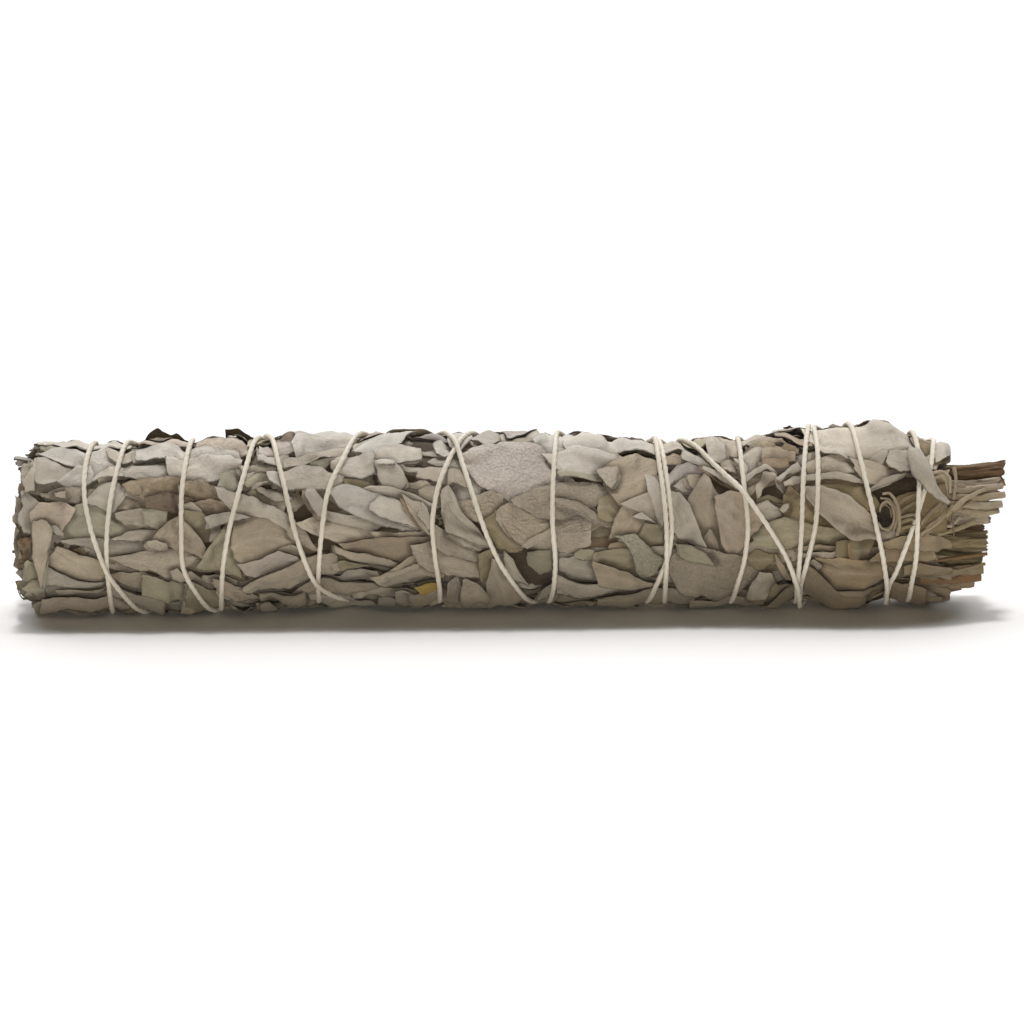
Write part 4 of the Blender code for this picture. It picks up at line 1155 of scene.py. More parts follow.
    ("beige", (708, 474, 698, 488, 689, 507, 698, 527, 704, 543), (716, 490, 724, 500, 724, 525, 722, 550)),
    ("beige rim", (709, 530, 705, 537, 703, 547), (712, 530, 717, 540, 719, 552)),
    ("light", (671, 492, 680, 494, 690, 509, 698, 527, 705, 544),
     (672, 510, 675, 530, 683, 540, 692, 543, 703, 547)),
    # right
    ("light", (706, 466, 724, 470, 742, 482), (705, 470, 720, 477, 740, 488)),
    ("light", (718, 440, 732, 437, 742, 440), (722, 450, 735, 453, 744, 450)),
    ("light", (709, 443, 715, 440, 724, 446), (712, 455, 718, 459, 726, 457)),
    ("light", (724, 461, 735, 457, 745, 452), (724, 466, 736, 469, 745, 466)),
    ("light", (742, 440, 760, 436, 778, 437), (745, 443, 762, 440, 778, 440)),
    ("beige tube", (750, 443, 765, 439, 785, 439, 795, 445), (752, 445, 770, 443, 785, 442, 797, 447)),
    ("beige", (745, 449, 765, 443, 790, 446, 800, 449), (747, 453, 770, 449, 790, 449, 800, 452)),
    ("brown crumple", (777, 434, 783, 430, 808, 437), (777, 436, 800, 438, 812, 439)),
    ("dark crumple", (788, 423, 791, 420, 800, 425), (790, 427, 795, 428, 801, 430)),
    ("pink", (777, 436, 795, 437, 812, 440), (778, 439, 797, 442, 812, 443)),
    ("pale", (742, 455, 755, 449, 768, 451), (744, 470, 755, 466, 763, 463)),
    ("beige", (765, 452, 780, 449, 795, 453), (763, 460, 780, 460, 795, 459)),
    ("tan", (762, 462, 775, 460, 790, 460), (764, 468, 780, 468, 790, 466)),
    ("light", (736, 460, 740, 462, 742, 475), (745, 460, 748, 466, 746, 478)),
    ("light tube", (746, 475, 755, 468, 767, 466, 778, 474), (748, 480, 757, 473, 768, 470, 777, 477)),
    ("light tube", (757, 498, 757, 485, 765, 474, 775, 476), (760, 496, 764, 486, 770, 481, 779, 481)),
    ("light tube", (775, 482, 782, 480, 790, 489), (776, 487, 783, 493, 795, 492)),
    ("pale tube", (779, 480, 788, 470, 797, 463), (782, 482, 790, 474, 800, 468)),
    ("pale tube", (785, 484, 795, 476, 803, 473), (787, 487, 797, 483, 803, 480)),
    ("olive", (757, 500, 768, 494, 785, 500), (760, 503, 770, 500, 783, 504)),
    ("olive", (785, 519, 787, 498, 795, 490, 808, 500), (800, 527, 815, 528, 838, 529, 822, 515)),
    ("light", (757, 505, 768, 501, 777, 508), (762, 515, 770, 521, 779, 515)),
    ("light", (780, 510, 784, 505, 789, 504), (783, 513, 787, 511, 789, 508)),
    ("green", (752, 534, 766, 526, 785, 519, 810, 526, 847, 532),
     (757, 545, 775, 549, 800, 548, 830, 543, 845, 538)),
    ("pink", (716, 499, 730, 494, 748, 497, 752, 510, 762, 524),
     (718, 515, 722, 538, 733, 555, 745, 545, 752, 533)),
    ("mid fuzz", (680, 545, 705, 551, 735, 558, 760, 571),
     (668, 570, 682, 589, 715, 594, 735, 598, 750, 587)),
    ("green", (679, 545, 692, 545, 705, 551), (680, 556, 700, 560, 715, 562)),
    ("mid", (690, 597, 715, 599, 745, 598), (690, 603, 720, 605, 745, 601)),
    ("olive", (748, 558, 758, 551, 778, 556), (750, 564, 760, 570, 776, 562)),
    ("mid", (776, 556, 784, 566, 790, 580), (778, 566, 785, 580, 792, 592)),
    ("light", (761, 570, 752, 586, 748, 598), (771, 571, 776, 588, 763, 598)),
    ("olive", (775, 582, 785, 590, 795, 598), (770, 594, 780, 602, 795, 606)),
    ("mid", (763, 604, 780, 598, 793, 596), (765, 608, 780, 609, 793, 607)),
    ("beige", (800, 548, 820, 545, 839, 547), (800, 552, 822, 552, 839, 551)),
    ("light", (800, 556, 818, 553, 838, 551), (803, 560, 820, 558, 838, 555)),
    ("olive", (838, 541, 850, 541), (838, 558, 850, 557)),
    ("olive", (851, 541, 872, 541), (852, 557, 866, 562)),
    ("beige", (818, 560, 840, 559, 865, 562, 884, 566), (825, 580, 835, 588, 862, 590, 886, 588)),
    ("light tube", (809, 567, 814, 561, 821, 566), (813, 573, 817, 575, 821, 571)),
    ("mid", (807, 569, 820, 581, 840, 592, 866, 597), (804, 585, 806, 603, 830, 607, 866, 603)),
    ("mid", (838, 589, 860, 590, 885, 594), (845, 594, 865, 596, 890, 598)),
    # painted shade: olive here stands for the shade that falls over this part
    ("olive", (822, 481, 845, 482, 866, 484, 880, 505), (824, 486, 845, 496, 862, 508, 878, 512)),
    ("light", (805, 462, 820, 458, 832, 454, 852, 457), (808, 470, 825, 471, 840, 473, 856, 470)),
    ("light tube", (805, 474, 825, 472, 850, 475, 864, 476), (806, 480, 825, 477, 845, 481, 864, 481)),
    ("light rim", (803, 487, 820, 486, 848, 498, 866, 513, 884, 529, 897, 534),
     (808, 498, 822, 513, 840, 528, 851, 536, 875, 539, 895, 539)),
    ("pale", (800, 426, 825, 422, 860, 421, 890, 423, 916, 438),
     (822, 449, 845, 455, 865, 456, 895, 451, 916, 447)),
    ("pale", (868, 460, 878, 455, 889, 451), (872, 465, 882, 464, 886, 457)),
    ("light", (851, 458, 865, 460, 885, 467, 905, 470), (858, 470, 865, 480, 880, 483, 905, 471)),
    ("light", (870, 487, 890, 477, 905, 472), (872, 489, 892, 483, 905, 474)),
    ("pale", (886, 464, 891, 454, 909, 449), (889, 467, 900, 470, 910, 467)),
    ("light", (914, 436, 924, 434, 932, 440), (920, 450, 928, 452, 936, 450)),
    ("olive crumple", (922, 438, 928, 439, 933, 442), (924, 448, 929, 451, 933, 450)),
    ("light", (925, 456, 932, 452, 938, 452), (930, 466, 936, 468, 939, 462)),
    ("pale", (934, 444, 942, 441, 957, 452), (937, 460, 945, 458, 955, 455)),
    ("mid", (868, 560, 885, 551, 910, 548, 934, 550), (870, 562, 890, 563, 912, 562, 935, 557)),
    ("dark crumple", (877, 516, 886, 505, 893, 510), (880, 524, 886, 529, 893, 522)),
    ("olive", (896, 500, 915, 493, 945, 488), (898, 530, 920, 532, 946, 526)),
    ("mid", (880, 545, 900, 538, 925, 535, 940, 537, 957, 545), (885, 549, 910, 551, 932, 549, 957, 547)),
    ("mid", (905, 568, 920, 564, 960, 566), (906, 577, 925, 573, 945, 570)),
    ("mid", (885, 590, 905, 588, 925, 586), (888, 600, 905, 602, 925, 597)),
    ("mid", (952, 517, 960, 513, 970, 517), (954, 527, 965, 530, 975, 527)),
    ("beige crumple", (965, 516, 975, 514, 990, 525), (970, 524, 982, 532, 994, 534)),
]

sinking = {"depth": 1.3, "reach": 0.4, "spacing": 0.3}
sinkField = np.zeros_like(heap)
firstTraced = len(leaves)


def betweenPixels(first, second, spacing, wider=1.0):
    pixels, grid = betweenEdges(first, second, view["pixelSize"], spacing, wider)
    return grid, *placeOfPixel(pixels)


def digHollow(first, second):
    # the leaves laid so far sink here, below those that come next; keepLeaf darkens them there with painted
    # shade
    grid, x, arc, _ = betweenPixels(first, second, sinking["spacing"])
    cells, _, _ = fineCells(x, arc, grid["along"].max() + 1, 2 * grid["half"].max() + 2)
    sinkField.ravel()[cells] = sinking["depth"]


for hollow in hollows:
    digHollow(*hollow)

tracing = {
    "spacing": 0.45,
    "wider": 1.2,  # goes on a little below its neighbours
    "ridge": 92.0,
    "pastRidge": (-0.6, 1.2),
    "standing": 1.0,  # one that stands higher stays on the ridge
}
below = {
    "share": 0.65,
    "aside": 2.0,  # in pixels
    "drop": (0.6, 3.2),
    "spacing": 0.8,
    "wider": 1.04,
    "tones": {"light": 0.2, "mid": 0.3, "beige": 0.2, "tan": 0.1, "olive": 0.06, "brown": 0.05, "grey": 0.1},
}
behindRidge = {"count": 52, "angles": (115.0, 124.0), "start": 8, "length": 196}


def layTraced(tone, style, first, second):
    grid, x, arc, above = betweenPixels(first, second, tracing["spacing"], tracing["wider"])
    if above.max() < tracing["standing"]:
        # ends behind the ridge, each somewhere else
        past = np.maximum(arc - arcAt(tracing["ridge"]), 0)
        arc = arc + past * rng.uniform(*tracing["pastRidge"])
    layLeaf(x, arc, above, grid, tone, style)


def layLeafBelow(first, second):
    # another leaf that peeps out below the edge of the traced one
    move = np.array([rng.normal(0, below["aside"]), rng.uniform(*below["drop"])])
    edges = [np.reshape(edge, (-1, 2)) + move for edge in (first, second)]
    grid, x, arc, _ = betweenPixels(*edges, below["spacing"], below["wider"])
    layLeaf(x, arc, 0.0, grid, drawn(below["tones"]), "plain")


for words, first, second in traced:
    tone, _, style = words.partition(" ")
    if rng.random() < below["share"]:
        layLeafBelow(first, second)
    layTraced(tone, style or "plain", first, second)
for k in range(behindRidge["count"]):
    # a row behind the ridge covers the ends of the traced leaves
    x = form["leafEnd"] + behindRidge["start"] + behindRidge["length"] * (k + 0.5) / behindRidge["count"]
    layDrawnLeaf(x, arcAt(rng.uniform(*behindRidge["angles"])), True)
print("leaves laid:", len(leaves), "heap", round(float(heap.mean()), 2), round(float(heap.max()), 2))


# Evening out the heap, and pressing it under the string and on the table

def blurredSheet(field, reach):
    cells = reach / sheet["cell"]
    width = int(cells * 2.5) + 1
    kernel = np.exp(-0.5 * (np.arange(-width, width + 1) / cells) ** 2)
    kernel /= kernel.sum()
    wide = np.pad(field, ((width, width), (0, 0)), mode="edge")
    wide = np.pad(wide, ((0, 0), (width, width)), mode="wrap")
    wide = np.apply_along_axis(np.convolve, 0, wide, kernel, "valid")
    return np.apply_along_axis(np.convolve, 1, wide, kernel, "valid")


def tallest(field, cells):
    # the largest value within a few cells
    found = field.copy()
    for dr in range(-cells, cells + 1):
        for dc in range(-cells, cells + 1):
            if dr * dr + dc * dc <= cells * cells:
                found = np.maximum(found, np.roll(field, (dr, dc), axis=(0, 1)))
    return found


cellX = startX + (np.arange(cellsX) + 0.5) * sheet["cell"]
cellAngle = angleAt((np.arange(cellsArc) + 0.5) * cellArc)
outline = np.broadcast_to(radiusAt(cellX)[:, None], heap.shape)
levelField = blurredSheet(heap, sheet["blur"])
sinkField = blurredSheet(sinkField, sinking["reach"])
# the underside sags onto the table, and lets no light through
sagging = {"angle": 260.0, "width": 15.0, "down": 0.8, "clear": 0.2, "most": 4, "overString": 1.5}
squeezing = {"below": -0.6, "above": 0.42, "share": 0.3}
pressing = {
    "reach": 9.0,
    "flat": 0.7,  # beside the string
    "gap": -0.15,
    "rise": 0.16,
    "curve": 0.075,
    "softness": 0.7,
    "tableGap": 0.05,
    "tableDown": 0.2,
    "far": 1e3,  # where nothing presses
}
shadeBlur = 0.55


def squeezed(relief):
    # what stands far from the level is brought closer to it
    below, above = squeezing["below"], squeezing["above"]
    far = np.minimum(relief - below, 0) + np.maximum(relief - above, 0)
    return np.clip(relief, below, above) + far * squeezing["share"]


def overTable(least):
    # radius at which each cell's direction meets the table; only for those that point down
    down = -np.sin(np.radians(cellAngle))[None, :]
    met = (heightAt(cellX)[:, None] - pressing["tableGap"]) / np.maximum(down, least)
    return np.where(down > least, met, pressing["far"])


sagShare = np.exp(-0.5 * ((cellAngle - sagging["angle"]) / sagging["width"]) ** 2)[None, :]
sagField = sagShare * np.clip(overTable(sagging["down"]) - outline - sagging["clear"], 0, sagging["most"])
# the radius of a point is this and its squeezed height over the level
baseField = outline + sheet["level"] + sagField


def pressField():
    # how far the heap is pushed in below the string and above the table
    surface = baseField + squeezed(tallest(heap, 1) - levelField)
    limit = np.full(heap.shape, pressing["far"])
    reach = int(pressing["reach"] / sheet["cell"])
    for x, arc, radius in zip(routeX, arcAt(routeTurn % 360), routeRadius):
        row = int((x - startX) / sheet["cell"])
        rows = np.arange(max(0, row - reach), min(cellsX, row + reach + 1))
        column = int(arc / cellArc)
        columns = np.arange(column - reach, column + reach + 1)
        dx = cellX[rows][:, None] - x
        darc = (columns + 0.5)[None, :] * cellArc - arc
        away = np.maximum(np.hypot(dx, darc) - pressing["flat"], 0)
        allowed = radius - string["radius"] - pressing["gap"] + pressing["rise"] * away
        allowed += pressing["curve"] * away ** 2
        block = np.ix_(rows, columns % cellsArc)
        allowed = allowed + (sagField + sagShare * sagging["overString"])[block]
        limit[block] = np.minimum(limit[block], allowed)
    return np.maximum(surface - np.minimum(limit, overTable(pressing["tableDown"])), 0)


pressedField = pressField()
pressedField = np.maximum(blurredSheet(pressedField, pressing["softness"]), pressedField)
baseField = baseField - pressedField
shadeField = blurredSheet(tallest(heap, 1), shadeBlur)
print("pressed, most", round(float(pressedField.max()), 2))


# Leaf meshes, gathered for each of the eight sprigs

attributes = {
    "tone": ("FLOAT_COLOR", "color"),
    "grain": ("FLOAT", "value"),
    "rib": ("FLOAT", "value"),
    "edge": ("FLOAT", "value"),
    "ownPlace": ("FLOAT_VECTOR", "vector"),
}
sprigBorders = {
    "count": 8,
    "turn": 45.0,
    "first": -90.0,
    "twist": 14.0,
    "twistLength": 228.0,
    "wave": 8.0,
    "waveLength": 70.0,
    "waveStart": 1.9,
}
sprigs = []
for _ in range(sprigBorders["count"]):
    sprigs.append({"count": 0, "points": [], "faces": [], **{name: [] for name in attributes}})


def sprigEdge(number, x):
    shape = sprigBorders
    wander = np.sin(2 * math.pi * x / shape["waveLength"] + shape["waveStart"] * (number % shape["count"]))
    straight = shape["turn"] * (number - 0.5) + shape["first"]
    return straight + shape["twist"] * x / shape["twistLength"] + shape["wave"] * wander


def sprigOf(x, angle):
    # the sprig that most of a leaf lies on
    x, angle = float(np.mean(x)), float(np.mean(angle))
    for number in range(sprigBorders["count"]):
        low = sprigEdge(number, x)
        high = sprigEdge(number + 1, x)
        if (angle - low) % 360 < (high - low):
            return number
    return 0


def closedSheet(middle, thick, outward):
    # a thin closed sheet round a middle surface
    normal = np.cross(np.gradient(middle, axis=0), np.gradient(middle, axis=1))
    normal /= np.linalg.norm(normal, axis=2)[:, :, None] + 1e-12
    flip = (normal * outward).sum() < 0
    if flip:
        normal = -normal
    rows, columns = middle.shape[:2]
    size = rows * columns
    move = normal * np.asarray(thick)[..., None] / 2
    points = np.concatenate([(middle + move).reshape(-1, 3), (middle - move).reshape(-1, 3)])
    index = np.arange(size).reshape(rows, columns)
    corners = [index[:-1, :-1], index[1:, :-1], index[1:, 1:], index[:-1, 1:]]
    upper = np.stack([corner.ravel() for corner in corners], axis=1)
    lower = upper[:, ::-1] + size
    loop = np.concatenate([index[:-1, 0], index[-1, :-1], index[:0:-1, -1], index[0, :0:-1]])
    following = np.roll(loop, -1)
    side = np.stack([following, loop, loop + size, following + size], axis=1)
    faces = np.concatenate([upper, lower, side])
    return points, faces[:, ::-1] if flip else faces, (rows, columns)


def sheetRound(x, angle, radius, thick):
    middle = onStick(x, angle, radius)
    return closedSheet(middle, thick, onStick(x, angle, radius + 1) - middle)


def keepMesh(sprig, points, faces, values):
    group = sprigs[sprig]
    group["points"].append(points)
    group["faces"].append(faces + group["count"])
    group["count"] += len(points)
    for name, value in values.items():
        group[name].append(value)


def keepSheet(sprig, made, tone, grain, rib, edge, place):
    # tone, rib, edge and place are for the upper half of the points, and serve the lower half too
    points, faces, shape = made
    rib, edge, *place = (np.broadcast_to(value, shape).ravel() for value in (rib, edge, *place))
    tone = np.broadcast_to(tone, (*shape, 3)).reshape(-1, 3)
    keepMesh(sprig, points, faces, {
        "tone": np.concatenate([tone, tone * shading["underneath"]]),
        "grain": np.full(len(points), grain),
        "rib": np.tile(rib, 2),
        "edge": np.tile(edge, 2),
        "ownPlace": np.tile(np.stack(place, axis=1), (2, 1)),
    })


shading = {
    "underneath": 0.92,
    # painted shade: a point that lies below the top of the heap around it, or in a sunk hollow, is darkened
    # towards this near-black colour
    "burialStart": 0.4,
    "burialReach": 2.2,
    "deepest": 0.55,
    "inHollow": 0.85,
    "buriedColour": (0.05, 0.035, 0.02),
    # painted light and shade: the top is lighter, and the side that faces down darker and warmer
    "angles": (-110, -90, -57, -42, -30, -18, 0, 30, 60, 120, 180, 215, 250),
    "shares": (0.78, 0.8, 0.86, 0.93, 0.83, 0.85, 0.96, 1.08, 1.14, 1.14, 0.98, 0.86, 0.78),
    "warmth": (0, 0.06, 0.3),
    # towards the stems the leaves are older and browner
    "agedFrom": 40.0,
    "agedReach": 40.0,
    "aging": (0.24, 0.32, 0.45),
    "agingOfLight": 0.4,
    "limits": (0.004, 0.9),
}
ownTone = {
    "seed": 1000,
    "brightness": 0.05,
    "warmth": 0.006,
    "spots": (0.08, 5, 3),  # share, length along and across
    "rimPowers": (16, 20),
    "rimWander": (0.6, 4, 1),
    # painted highlight and shade at the rims: a lighter edge is a painted highlight, a darker one painted
    # shade together with the browning of a dried edge
    "rim": (-0.2, 0.3),  # an edge is lighter, or brown where it dried out
    "rootToTip": (1.03, 0.06),
}


# painted light and shade by the side of the stick that a point faces
def sideShade(angle):
    share = np.interp((angle + 110) % 360 - 110, shading["angles"], shading["shares"])
    return np.stack([share * (1 - warmth * (1 - share)) for warmth in shading["warmth"]], axis=-1)


def leafTones(leaf, number, angle, paintedShade):
    draw = np.random.default_rng(ownTone["seed"] + number)
    base = np.array(tones[leaf["tone"]]) * draw.normal(1.0, ownTone["brightness"])
    warmth = draw.normal(0, ownTone["warmth"])
    base = base + np.array([warmth, 0, -warmth])
    place = draw.uniform(0, 60, 2)
    u, v, along = leaf["u"], leaf["v"], leaf["along"]
    spots = 1 + waved(ownTone["spots"], along, leaf["across"], *place)
    # painted highlight and shade along the rims, with the browning of dried edges
    sidePower, tipPower = ownTone["rimPowers"]
    wander = waved(ownTone["rimWander"], along, 3 + v, place[1])
    rim = np.abs(v) ** sidePower * (1 + wander) + u ** tipPower
    root, tip = ownTone["rootToTip"]
    spots = spots * (1 - draw.uniform(*ownTone["rim"]) * np.clip(rim, 0, 1)) * (root - tip * u)
    colour = base * spots[:, :, None] * sideShade(angle)
    aged = np.clip((leaf["x"] - shading["agedFrom"]) / shading["agedReach"], 0, 1)
    if leaf["tone"] in ("pale", "light"):
        aged = aged * shading["agingOfLight"]
    colour = colour * (1 - aged[:, :, None] * np.array(shading["aging"]))
    paintedShade = paintedShade[:, :, None]
    return np.clip(colour * (1 - paintedShade) + np.array(shading["buriedColour"]) * paintedShade, *shading["limits"])


leafSheet = {
    "rimThickness": (0.5, 2.4),  # share at the rim, and how fast it grows
    "endReach": 3,
    "ribWidth": 0.4,
    "leastCells": 4,  # a leaf that shows less is left out, unless it stands up
    "standing": 0.5,
    # painted shadow line: the upper, lit edge counts as this much further from the edge, so its line is
    # thinner
    "darkEdge": (0.3, 0.1),  # of most leaves, and of every fourth
    "apart": 3.7,
}


def edgeDistance(grid, arc, upper):
    # mm from the nearest edge; the upper edge counts as further, since light falls on it
    ends = np.minimum(grid["u"], 1 - grid["u"]) * grid["along"].max() + upper / 2
    up = np.sign(arc[:, -1] - arc[:, 0])[:, None]
    side = (1 - np.abs(grid["v"])) * grid["half"] + upper * (grid["v"] * up > 0)
    return np.minimum(side, ends)


def keepLeaf(leaf, number):
    x, arc, u = leaf["x"], leaf["arc"], leaf["u"]
    angle = angleAt(arc)
    sunk = sampled(sinkField, x, arc) if number < firstTraced else np.zeros_like(x)
    radius = sampled(baseField, x, arc) + squeezed(leaf["height"] - sampled(levelField, x, arc))
    radius = radius + leaf["above"] - sunk
    nearRim = np.minimum(1 - np.abs(leaf["v"]), np.minimum(u, 1 - u) * leafSheet["endReach"])
    rim, growth = leafSheet["rimThickness"]
    made = sheetRound(x, angle, radius, leaf["thickness"] * np.minimum(1.0, rim + growth * nearRim))
    # painted shade: the deeper a point lies below the leaves around it, and in the hollows, the darker it is
    # painted
    depth = sampled(shadeField, x, arc) - leaf["height"] - leaf["thickness"] / 2
    paintedShade = np.clip((depth - shading["burialStart"]) / shading["burialReach"], 0, shading["deepest"])
    paintedShade = np.maximum(paintedShade, shading["inHollow"] * sunk / sinking["depth"])
    tone = leafTones(leaf, number, angle, paintedShade)
    rib = np.exp(-(leaf["across"] / leafSheet["ribWidth"]) ** 2) * leaf["rib"]
    edge = edgeDistance(leaf, arc, leafSheet["darkEdge"][0 if number % 4 else 1])
    place = (leaf["along"], leaf["across"], number * leafSheet["apart"])
    keepSheet(sprigOf(x, angle), made, tone, leaf["grain"], rib, edge, place)


visible = np.bincount(owner[owner >= 0].ravel(), minlength=len(leaves)) >= leafSheet["leastCells"]
for number, leaf in enumerate(leaves):
    if visible[number] or np.max(leaf["above"]) > leafSheet["standing"]:
        keepLeaf(leaf, number)
print("leaves kept:", int(visible.sum()))


# Packed leaf below the others, which closes every gap, in the near-black colour of painted shade

packed = {"grain": 0.3, "edge": 5}  # so no point counts as near an edge
lining = {
    "depth": 1.9,
    "x": (-108.0, 97.0),
    "rows": 104,
    "columns": 73,
    "roughness": 0.35,
    "waves": ((2.5, 6, 9), (4, 5, 7)),  # length along the stick, size and start of the wander round it
    "thickness": 0.5,
    "brightness": 1.3,
    "sprig": 4,
}


def keepLining():
    x = np.linspace(*lining["x"], lining["rows"])[:, None] + np.zeros(lining["columns"])
    arc = np.linspace(0, arcLength, lining["columns"])[None, :] + np.zeros_like(x)
    angle = angleAt(arc)
    wave = 0
    for (length, size, start), way in zip(lining["waves"], (np.sin, np.cos)):
        wave = wave + rough(x / length, way(np.radians(angle)) * size + start)
    radius = sampled(baseField, x, arc) - lining["depth"] + lining["roughness"] * wave
    made = sheetRound(x, angle, radius, lining["thickness"])
    # painted shade: the lining has the near-black colour of the shade in the gaps
    tone = np.array(shading["buriedColour"]) * lining["brightness"]
    keepSheet(lining["sprig"], made, tone, packed["grain"], 0, packed["edge"], (x, arc, 0))


keepLining()


# Rolled ends of leaves that fill the cut left end

endRolls = {
    "rings": (1.2, 2.9, 4.6, 6.3, 8.0, 9.6, 11.2, 12.7, 14.2, 15.5),
    "apart": 7,
    "strayAngle": 6,
    "width": (5.0, 11.0),
    "widthOfRadius": 4.5,
    "tips": (-113.6, -108.5),
    "inner": (12, 1.5),  # those within this radius end this much earlier
    "reach": 13.0,
    "points": (15, 13),  # along and across
    "ragged": (0.6, 3, 4.4),
    "lean": 0.9,
    "waves": ((0.8, 1.8, 2), (0.3, 4, 3)),  # size, how often across and along
    "leastRadius": (1.5, 0.2),
    "below": 1.6,
    "thickness": 0.38,
    "brightness": (0.7, 1.1),
    # painted shade: the part deeper in the bundle is darker
    "fade": (1.8, 0.6, 0.15),  # the inner part is darker
    "grain": 0.2,
}
plugs = {
    "ends": ((-107.5, 15.5, -1.0), (93.0, 15.0, 1.0)),  # x, radius, way it faces
    "points": (12, 41),
    "first": 0.02,
    "waves": (1.2, 7, 30),  # size, how often outward, degrees round
    "thickness": 0.6,
    "brightness": 0.5,
    "sprig": 0,
}


def keepRoll(radius, angle):
    # a leaf seen end on: a curved strip that leans in or out as it goes round
    width = min(rng.uniform(*endRolls["width"]), endRolls["widthOfRadius"] * radius)
    innerRadius, earlier = endRolls["inner"]
    tip = rng.uniform(*endRolls["tips"]) + earlier * (radius < innerRadius)
    rows, columns = endRolls["points"]
    s = np.linspace(-1, 1, columns)[None, :]
    u = np.linspace(0, 1, rows)[:, None]
    draw = rng.uniform(0, 60, 3)
    size, times, row = endRolls["ragged"]
    x = tip + endRolls["reach"] * (1 - u) + size * rough(s * times + draw[0], row) * u
    away = radius + rng.normal(0.0, endRolls["lean"]) * s
    for k, (size, times, timesAlong) in enumerate(endRolls["waves"]):
        away = away + size * rough(s * times + draw[k + 1], u * timesAlong)
    leastTurned, least = endRolls["leastRadius"]
    turn = angle + np.degrees(s * width / 2 / np.maximum(radius, leastTurned)) + 0 * u
    away = np.minimum(np.maximum(away, least), radiusAt(x) - endRolls["below"])
    made = sheetRound(x, turn, away, endRolls["thickness"])
    base = np.array(tones[drawn(drawnTones)]) * rng.uniform(*endRolls["brightness"])
    # painted shade, darker deeper in the bundle
    growth, start, darkest = endRolls["fade"]
    tone = base * np.clip(u * growth - start, darkest, 1)[:, :, None]
    edge = np.minimum((1 - np.abs(s)) * width / 2, (1 - u) * endRolls["reach"])
    place = (u * endRolls["reach"], s * width / 2, draw[0])
    keepSheet(sprigOf(form["leafEnd"] + 4, angle), made, tone, endRolls["grain"], 0, edge, place)


def keepPlug(plugX, plugRadius, way):
    # packed leaf behind the rolled ends and between the stems, its brown halved as painted shade deep in the
    # bundle
    rows, columns = plugs["points"]
    s = np.linspace(plugs["first"], 1, rows)[:, None]
    turn = np.linspace(0, 360, columns)[None, :]
    size, times, length = plugs["waves"]
    x = plugX + size * rough(s * times, turn / length) + 0 * s
    middle = onStick(x, turn + 0 * s, s * plugRadius + 0 * turn)
    outward = np.broadcast_to(np.array([way, 0.0, 0.0]), middle.shape)
    made = closedSheet(middle, plugs["thickness"], outward)
    tone = np.array(tones["brown"]) * plugs["brightness"]
    keepSheet(plugs["sprig"], made, tone, packed["grain"], 0, packed["edge"], (0, 0, 0))


for radius in endRolls["rings"]:
    count = max(2, round(2 * math.pi * radius / endRolls["apart"]))
    start = rng.uniform(0, 360)
    for k in range(count):
        keepRoll(radius, start + 360 * k / count + rng.normal(0, endRolls["strayAngle"]))
for plug in plugs["ends"]:
    keepPlug(*plug)


# Leaf stalks, the curled one and the twisted leaf at the right end

stalkShape = {
    "pixels": 2.2,  # for each step along it
    "leastPoints": 8,
    "sides": 8,
    "knobs": (0.2, 3, 5, 1.6),  # size, length and start along it, how often round it
    "aging": (60, 0.7),  # those past this x are older by this share
    "brightness": (0.85, 1.1),
    "grain": 0.3,
    "ownLength": 0.5,
    "apart": (0, 90),
}


